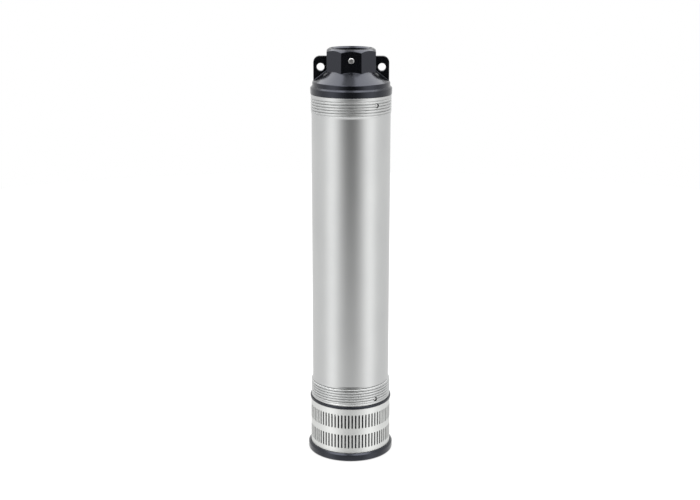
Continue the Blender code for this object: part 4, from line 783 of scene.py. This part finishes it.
head = {
    "segments": 160, "collarTop": 427.4, "collarBottom": 419.1, "collarRadius": 45.4, "collarDraft": 0.2,
    "collarAcross": 1.6, "collarDown": 1.8, "domeRadius": 43.2, "domeEdge": 432.1, "domeRounding": 1.9,
    "neck": 444.6, "rim": 468.9, "flat": 27.0, "chamfer": 4.6, "slope": 0.75, "coneReach": 6.0, "coneBottom": 400.0,
    "edge": 0.55, "sink": 1.0,  # sink: how far the port and the boss go into the collar
    "spigotRadius": 42.8, "spigot": 20.0, "grooveInset": 12.0, "grooveWidth": 3.2, "grooveDepth": 2.3,
    "lugHalf": 41.8, "lugTop": 460.4, "lugCorner": 7.0, "lugThickness": 7.0, "lugBottom": 430.4, "lugEdge": 0.5,
    "holeX": 33.8, "holeZ": 448.4, "holeRadius": 4.25, "holeEdge": 0.4,
    "fillet": 0.8, "lugFillet": 1.1, "filletTuck": 0.6, "filletProbe": 0.2, "filletStart": 0.5,
    "bossY": 35.5, "bossRadius": 7.6, "bossTop": 444.1, "seatRadius": 6.1, "seatBottom": 435.1, "leadRadius": 3.6,
    "drillTop": 450.0, "drillBottom": 410.0,
    "screwZ": 457.2, "screwHole": 2.0, "screwDepth": 8.0, "normalWeight": 60,
    "waterway": [  # from the port's mouth over its thread, the snap ring and the valve's seat to the shell
        (0, 469.9), (23.45, 469.9), (23.45, 468.9), (23.1, 468.55), (21.5, 467.0), (21.5, 464.6), (21.2, 464.2),
        (21.2, 450.2), (21.1, 449.6), (21.1, 447.8), (20.2, 447.8), (20.2, 444.5), (18.5, 444.5), (18.5, 425.1),
        (14, 425.1), (14, 419.1), (38.8, 403.1), (38.8, 398.6), (0, 398.6)],
}


def domeHeight(s, radius):  # the dome is a cone whose outer edge is rounded over
    fall = (s.neck - s.domeEdge) / (s.domeRadius - s.flat)
    tilt = atan(1 / fall)
    bend = s.domeRounding
    start = s.domeRadius - bend * (1 - cos(tilt))
    if radius <= start:
        return s.neck - fall * (radius - s.flat)
    across = min(radius - (s.domeRadius - bend), bend)
    return s.domeEdge - bend * tan(tilt / 2) + sqrt(bend ** 2 - across ** 2)


def filletStrip(s, shape, line, size, steps=4):
    # line holds (x, y) points in mm with the direction out of the wall. A concave strip eases the wall into
    # the dome below it, and its back is tucked into both.
    rings = []
    for (x, y), outward in line:
        z = domeHeight(s, hypot(x, y))
        beyond = Vector((x, y, 0)) + outward * s.filletProbe
        drop = domeHeight(s, hypot(beyond.x, beyond.y)) - z
        p = Vector((x, y, z))
        a, b = Vector((0, 0, 1)), (outward * s.filletProbe + Vector((0, 0, drop))).normalized()
        half = a.angle(b) / 2
        centre = p + (a + b).normalized() * size / sin(half)
        start, end = p + a * size / tan(half), p + b * size / tan(half)
        behind, under = outward * s.filletTuck, Vector((0, 0, s.filletTuck))
        axis = (start - centre).cross(end - centre).normalized()
        sweep = (start - centre).angle(end - centre)
        bends = [centre + Matrix.Rotation(sweep * k / steps, 3, axis) @ (start - centre) for k in range(1, steps)]
        ring = [start - behind, start, *bends, end, end - under, p - behind - under]
        rings.append([shape.verts.new(v * mm) for v in ring])
    bridge(shape, rings, caps=line[0][0] != line[-1][0])


def headFillets(s, perFace=14, perLug=12):
    shape = bmesh.new()
    line = []
    reach = s.flat * tan(pi / 8)
    for face in range(8):
        normal = pi / 4 * face
        out = Vector((cos(normal), sin(normal), 0))
        side = Vector((-sin(normal), cos(normal), 0))
        for k in range(perFace):
            spot = out * s.flat + side * (-reach + 2 * reach * k / perFace)
            line.append(((spot.x, spot.y), spot.normalized() if k == 0 else out))
    line.append(line[0])
    filletStrip(s, shape, line, s.fillet)
    inner = s.flat - s.filletStart
    for sideX in (-1, 1):
        for faceY in (-1, 1):
            xs = [sideX * (inner + (s.lugHalf - s.flat) * k / perLug) for k in range(perLug + 1)]
            line = [((x, faceY * s.lugThickness / 2), Vector((0, faceY, 0))) for x in xs]
            filletStrip(s, shape, line, s.lugFillet)
    weld(shape, 0.001)
    return outwards(shape)


def lugPlate(s, steps=12):
    shape = bmesh.new()
    turns = [radians(90 * k / steps) for k in range(steps + 1)]
    arc = [(s.lugHalf - s.lugCorner * (1 - cos(a)), s.lugTop - s.lugCorner * (1 - sin(a))) for a in turns]
    right = [(s.lugHalf, s.lugBottom), *arc]
    outline = right + [(-x, z) for x, z in right[::-1]]
    addPrism(shape, outline, -s.lugThickness / 2, s.lugThickness / 2)
    bmesh.ops.rotate(shape, verts=shape.verts, matrix=Matrix.Rotation(pi / 2, 3, "X"))
    return outwards(shape)


def makeHead(s):
    root = s.spigotRadius - s.grooveDepth
    z0, tip = s.collarBottom, s.collarBottom - s.spigot
    grooveHigh, grooveLow = z0 - s.grooveInset, z0 - s.grooveInset - s.grooveWidth
    profile = rounded([
        (0, s.neck, 0), (s.flat, s.neck, 0), (s.domeRadius, s.domeEdge, s.domeRounding),
        (s.domeRadius, s.collarTop, 0.35), (s.collarRadius - s.collarAcross, s.collarTop, 0.4),
        (s.collarRadius, s.collarTop - s.collarDown, 0.6), (s.collarRadius - s.collarDraft, z0, 0.3),
        (s.spigotRadius, z0, 0), (s.spigotRadius, grooveHigh, 0.2), (root, grooveHigh, 0), (root, grooveLow, 0),
        (s.spigotRadius, grooveLow, 0.2), (s.spigotRadius, tip, 0.8), (0, tip, 0)], 8)
    body = standIn("headBody", turnedShape(profile, s.segments))
    octagon = bmesh.new()
    corner = s.flat / cos(pi / 8)
    sunk = s.collarTop + s.sink
    addPrism(octagon, polygon(8, corner, pi / 8), sunk, s.rim)
    port = standIn("portOctagon", octagon)
    topRadius = s.flat - s.chamfer / 2
    reach = s.coneReach + corner - topRadius
    cone = standIn("portCone", turnedShape([
        (0, s.rim), (topRadius, s.rim), (topRadius + reach, s.rim - reach * s.slope),
        (topRadius + reach, s.coneBottom), (0, s.coneBottom)], s.segments))
    combined(port, cone, "INTERSECT")
    bevelled(port, s.edge, segments=3, angle=18)
    lugs = bevelled(standIn("lugPlate", lugPlate(s)), s.lugEdge, angle=40)
    boss = standIn("glandBoss", turnedShape(rounded([
        (0, s.bossTop, 0), (s.bossRadius, s.bossTop, 0.6), (s.bossRadius, sunk, 0), (0, sunk, 0)], 4), 64,
        place=at(0, s.bossY, 0)))
    for part in (port, lugs, boss):
        combined(body, part, "UNION")
    water = standIn("waterway", turnedShape(s.waterway, s.segments))
    combined(body, water, "DIFFERENCE")
    drill = bmesh.new()
    r, wide, t = s.holeRadius, s.holeRadius + s.holeEdge, s.lugThickness / 2
    for x in (-s.holeX, s.holeX):
        addTurned(drill, [(0, -t - 1), (wide, -t - 1), (wide, -t), (r, -t + s.holeEdge), (r, t - s.holeEdge),
                          (wide, t), (wide, t + 1), (0, t + 1)], 64, place=sideways(x, 0, s.holeZ))
    addTurned(drill, [(0, 1), (s.screwHole, 1), (s.screwHole, -s.screwDepth), (0, -s.screwDepth)], 32,
              place=sideways(0, -s.flat, s.screwZ))
    addTurned(drill, [(0, s.drillTop), (s.seatRadius, s.drillTop), (s.seatRadius, s.seatBottom),
                      (s.leadRadius, s.seatBottom), (s.leadRadius, s.drillBottom), (0, s.drillBottom)], 48,
              place=at(0, s.bossY, 0))
    mesh = carved(body, "headHoles", drill, [port, cone, lugs, boss, water])
    shape = shapeOf(mesh, meshOf("fillets", headFillets(s)))
    piece = finishPiece("dischargeHead", shape, "nylon", 24, nodes=["discharge_head"])
    weighted = piece.modifiers.new("facesFirst", "WEIGHTED_NORMAL")
    weighted.keep_sharp = True
    weighted.weight = s.normalWeight


portThread = {
    "Radius": 21.05, "Runout Radius": 21.05, "Runout": 0.5, "Low": 450.2, "High": 464.2, "Pitch": 2.309,
    "Lead": 450.2, "Depth": 1.0, "Groove Share": 0.48, "Fade Low": 451.7, "Fade High": 463.4, "Segments": 129,
    "Rows": 90,
}


def makePortThread(sizes, seam=0.004):  # a G1 1/4 pipe thread, whose crests stand inwards
    shape = shapeOf(threadedBand("nylon", sizes))
    weld(shape, seam)
    for face in shape.faces:
        face.normal_update()
        middle = face.calc_center_median()
        if face.normal.dot(Vector((middle.x, middle.y, 0))) > 0:
            face.normal_flip()
    finishPiece("portThread", shape, "nylon", 60)


portScrew = {"head": 3.3, "height": 1.6, "flat": 0.78, "shoulder": 0.7, "shank": 1.7, "length": 6.5, "socket": 1.2,
             "socketDepth": 1.2, "place": (0, -27.3, 457.2)}


def makePortScrew(s):
    body = standIn("portScrewBody", turnedShape(rounded([
        (0, s.height, 0), (s.flat * s.head, s.height, 0.4), (s.head, s.shoulder, 0.4), (s.head, 0, 0.15),
        (s.shank, 0, 0), (s.shank, -s.length, 0.3), (0, -s.length, 0)], 5), 64))
    key = bmesh.new()
    addPrism(key, polygon(6, s.socket), s.height - s.socketDepth, s.height + 1)
    mesh = carved(body, "socketKey", key)
    mesh.transform(sideways(*s.place))
    finishPiece("portLockScrew", mesh, "screw", nodes=["port_lock_screw"])


gland = {
    "y": 35.5, "bottom": 444.4, "top": 451.4, "across": 7.6, "bore": 3.6, "edge": 0.3,
    "cone": [(0, 451.4), (6.4, 451.4), (8.6, 449.9), (8.6, 445.3), (7.2, 444.4), (0, 444.4)],
    "hole": [(0, 452.4), (4.5, 452.4), (4.5, 451.4), (3.6, 450.5), (3.6, 443.4), (0, 443.4)],
    "grommetOuter": 5.8, "grommetBottom": 435.4, "grommetTop": 444.1,
}


def makeGland(s):
    place = at(0, s.y, 0)
    nut = bmesh.new()
    addPrism(nut, polygon(6, s.across), s.bottom, s.top)
    body = standIn("glandNut", nut)
    cone = standIn("glandCone", turnedShape(s.cone, 96))
    combined(body, cone, "INTERSECT")
    bevelled(body, s.edge, angle=20)
    mesh = carved(body, "glandHole", turnedShape(s.hole, 48), [cone])
    mesh.transform(place)
    finishPiece("glandNut", mesh, "nylon", 25, nodes=["cable_gland_nut"])
    profile = rounded([(s.grommetOuter, s.grommetTop, 0.5), (s.grommetOuter, s.grommetBottom, 0.5),
                       (s.bore, s.grommetBottom, 0.3), (s.bore, s.grommetTop, 0.3)], 3)
    finishPiece("glandGrommet", turnedShape(profile, 48, place), "rubber", nodes=["cable_grommet"])


makeHead(named(head))
makePortThread(portThread)
makePortScrew(named(portScrew))
makeGland(named(gland))
print("discharge head is moulded")

valve = {
    "sealOuter": 15.8, "sealInner": 12.2, "sealBottom": 425.4, "sealTop": 426.8,
    "discBottom": 427.1, "discTop": 430.1, "discRadius": 16.4, "stem": 2.8, "stemTop": 447.8,
    "guideBottom": 444.8, "guideTop": 447.8, "guideOuter": 19.9, "guideInner": 17.7,
    "hubOuter": 5.3, "hubInner": 3.1, "hubBottom": 443.3, "ribWidth": 2.4, "ribOverlap": 0.3, "ribEdge": 0.4,
    "snapOuter": 20.8, "snapInner": 19.1, "snapBottom": 448.1, "snapTop": 449.3, "snapGap": 24.0,
    "snapEdge": 0.2, "snapSteps": 80,
}


def washer(outer, inner, low, high, outerRounding, innerRounding):  # a turned ring with rounded edges
    return rounded([(outer, high, outerRounding), (outer, low, outerRounding), (inner, low, innerRounding),
                    (inner, high, innerRounding)], 3)


def makeSnapRing(s):
    ring = bmesh.new()
    gap = radians(s.snapGap)
    e, low, high = s.snapEdge, s.snapBottom, s.snapTop
    section = [(s.snapOuter - e, low), (s.snapOuter, low + e), (s.snapOuter, high - e), (s.snapOuter - e, high),
               (s.snapInner + e, high), (s.snapInner, high - e), (s.snapInner, low + e), (s.snapInner + e, low)]
    rows = []
    for k in range(s.snapSteps + 1):
        angle = -pi / 2 + gap / 2 + (2 * pi - gap) * k / s.snapSteps
        x, y = cos(angle), sin(angle)
        rows.append([ring.verts.new((r * mm * x, r * mm * y, z * mm)) for r, z in section])
    bridge(ring, rows)
    finishPiece("snapRing", outwards(ring), "spring", nodes=["snap_ring"])


def makeValve(s):
    seal = washer(s.sealOuter, s.sealInner, s.sealBottom, s.sealTop, 0.3, 0.3)
    finishPiece("valveSeal", turnedShape(seal, 96), "rubber", body="valve", nodes=["valve_seal"])
    poppet = rounded([(0, s.stemTop, 0), (s.stem, s.stemTop, 0.6), (s.stem, s.discTop, 1.2),
                      (s.discRadius, s.discTop, 1.2), (s.discRadius, s.discBottom, 0.4), (0, s.discBottom, 0)], 4)
    finishPiece("valvePoppet", turnedShape(poppet, 96), "acetal", body="valve", nodes=["valve_poppet"])
    shape = turnedShape(washer(s.guideOuter, s.guideInner, s.guideBottom, s.guideTop, 0.4, 0.4), 96)
    addTurned(shape, washer(s.hubOuter, s.hubInner, s.hubBottom, s.guideTop, 0.4, 0.2), 48)
    outwards(shape)
    rib = bmesh.new()
    w, start, end = s.ribWidth / 2, s.hubOuter - s.ribOverlap, s.guideInner + s.ribOverlap
    addPrism(rib, [(start, -w), (end, -w), (end, w), (start, w)], s.guideBottom + s.ribOverlap,
             s.guideTop - s.ribOverlap)
    long = [e for e in rib.edges if abs(e.verts[0].co.x - e.verts[1].co.x) > mm]
    bmesh.ops.bevel(rib, geom=long, offset=s.ribEdge * mm, segments=2, affect="EDGES")
    ribs = grownMesh(standIn("ribHost", rib), ringTree, "acetal", {"Count": 3, "First Angle": pi / 2,
                                                                   "Weld": 0.0})
    shape.from_mesh(ribs)
    finishPiece("valveGuide", shape, "acetal", nodes=["valve_guide"])
    makeSnapRing(s)


spring = {"wire": 0.6, "radius": 6.4, "turns": 3, "low": 430.4, "high": 443.0, "closedPitch": 1.32,
          "stepsEach": 28, "sides": 10, "lift": 7.0}


def makeSpring(s):  # closed and open coils on one helix
    shape = bmesh.new()
    total = (s.turns + 1) * s.stepsEach
    low, high = s.low + s.wire, s.high - s.wire
    line = []
    for i in range(total + 1):
        turn = i / s.stepsEach
        climb = min(max((turn - 0.5) / s.turns, 0.0), 1.0)
        closed = min(turn, 0.5) + max(turn - s.turns - 0.5, 0.0)
        rise = low + s.closedPitch * closed + (high - low - s.closedPitch) * climb
        angle = 2 * pi * turn
        line.append(Vector((s.radius * cos(angle), s.radius * sin(angle), rise)))
    rings = []
    for i, centre in enumerate(line):
        along = (line[min(i + 1, total)] - line[max(i - 1, 0)]).normalized()
        outward = Vector((centre.x, centre.y, 0)).normalized()
        across = along.cross(outward).normalized()
        arms = [outward * x + across * y for x, y in polygon(s.sides, 1.0)]
        rings.append([shape.verts.new((centre + arm * s.wire) * mm) for arm in arms])
    bridge(shape, rings)
    piece = finishPiece("valveSpring", outwards(shape), "spring", 40, nodes=["valve_spring"])
    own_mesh(piece)


makeValve(named(valve))
makeSpring(named(spring))
print("check valve is assembled")

# The inner pieces keep their CAD shapes and take real finishes.
innerFinish = {
    "screw": ["impeller_nut", "spacer_sleeve_1", "spacer_sleeve_2"],
    "shaft": ["shaft", "lower_bearing_inner_ring", "lower_bearing_outer_ring", "upper_bearing_inner_ring",
              "upper_bearing_outer_ring"],
    "tube": ["motor_can"],
    "laminations": ["stator_core", "rotor_core"],
    "iron": ["lower_motor_bracket", "upper_motor_bracket"],
    "ppo": ["stage_bowl_1", "stage_bowl_2", "stage_bowl_3", "motor_cap", "motor_lead_gland"],
    "acetal": ["impeller_1", "impeller_2", "impeller_3", "diffuser_1", "diffuser_2", "diffuser_3", "capacitor"],
    "rubber": ["base_o_ring", "head_o_ring", "seal_head"],
    "alumina": ["seal_seat"],
    "winding": ["lower_winding", "upper_winding"],
}

for finishName, nodeNames in innerFinish.items():
    for nodeName in nodeNames:
        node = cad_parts[nodeName]
        if not node.material_slots:
            node.data.materials.append(finish[finishName])
        for slot in node.material_slots:
            slot.material = finish[finishName]
print("inner pieces are finished")
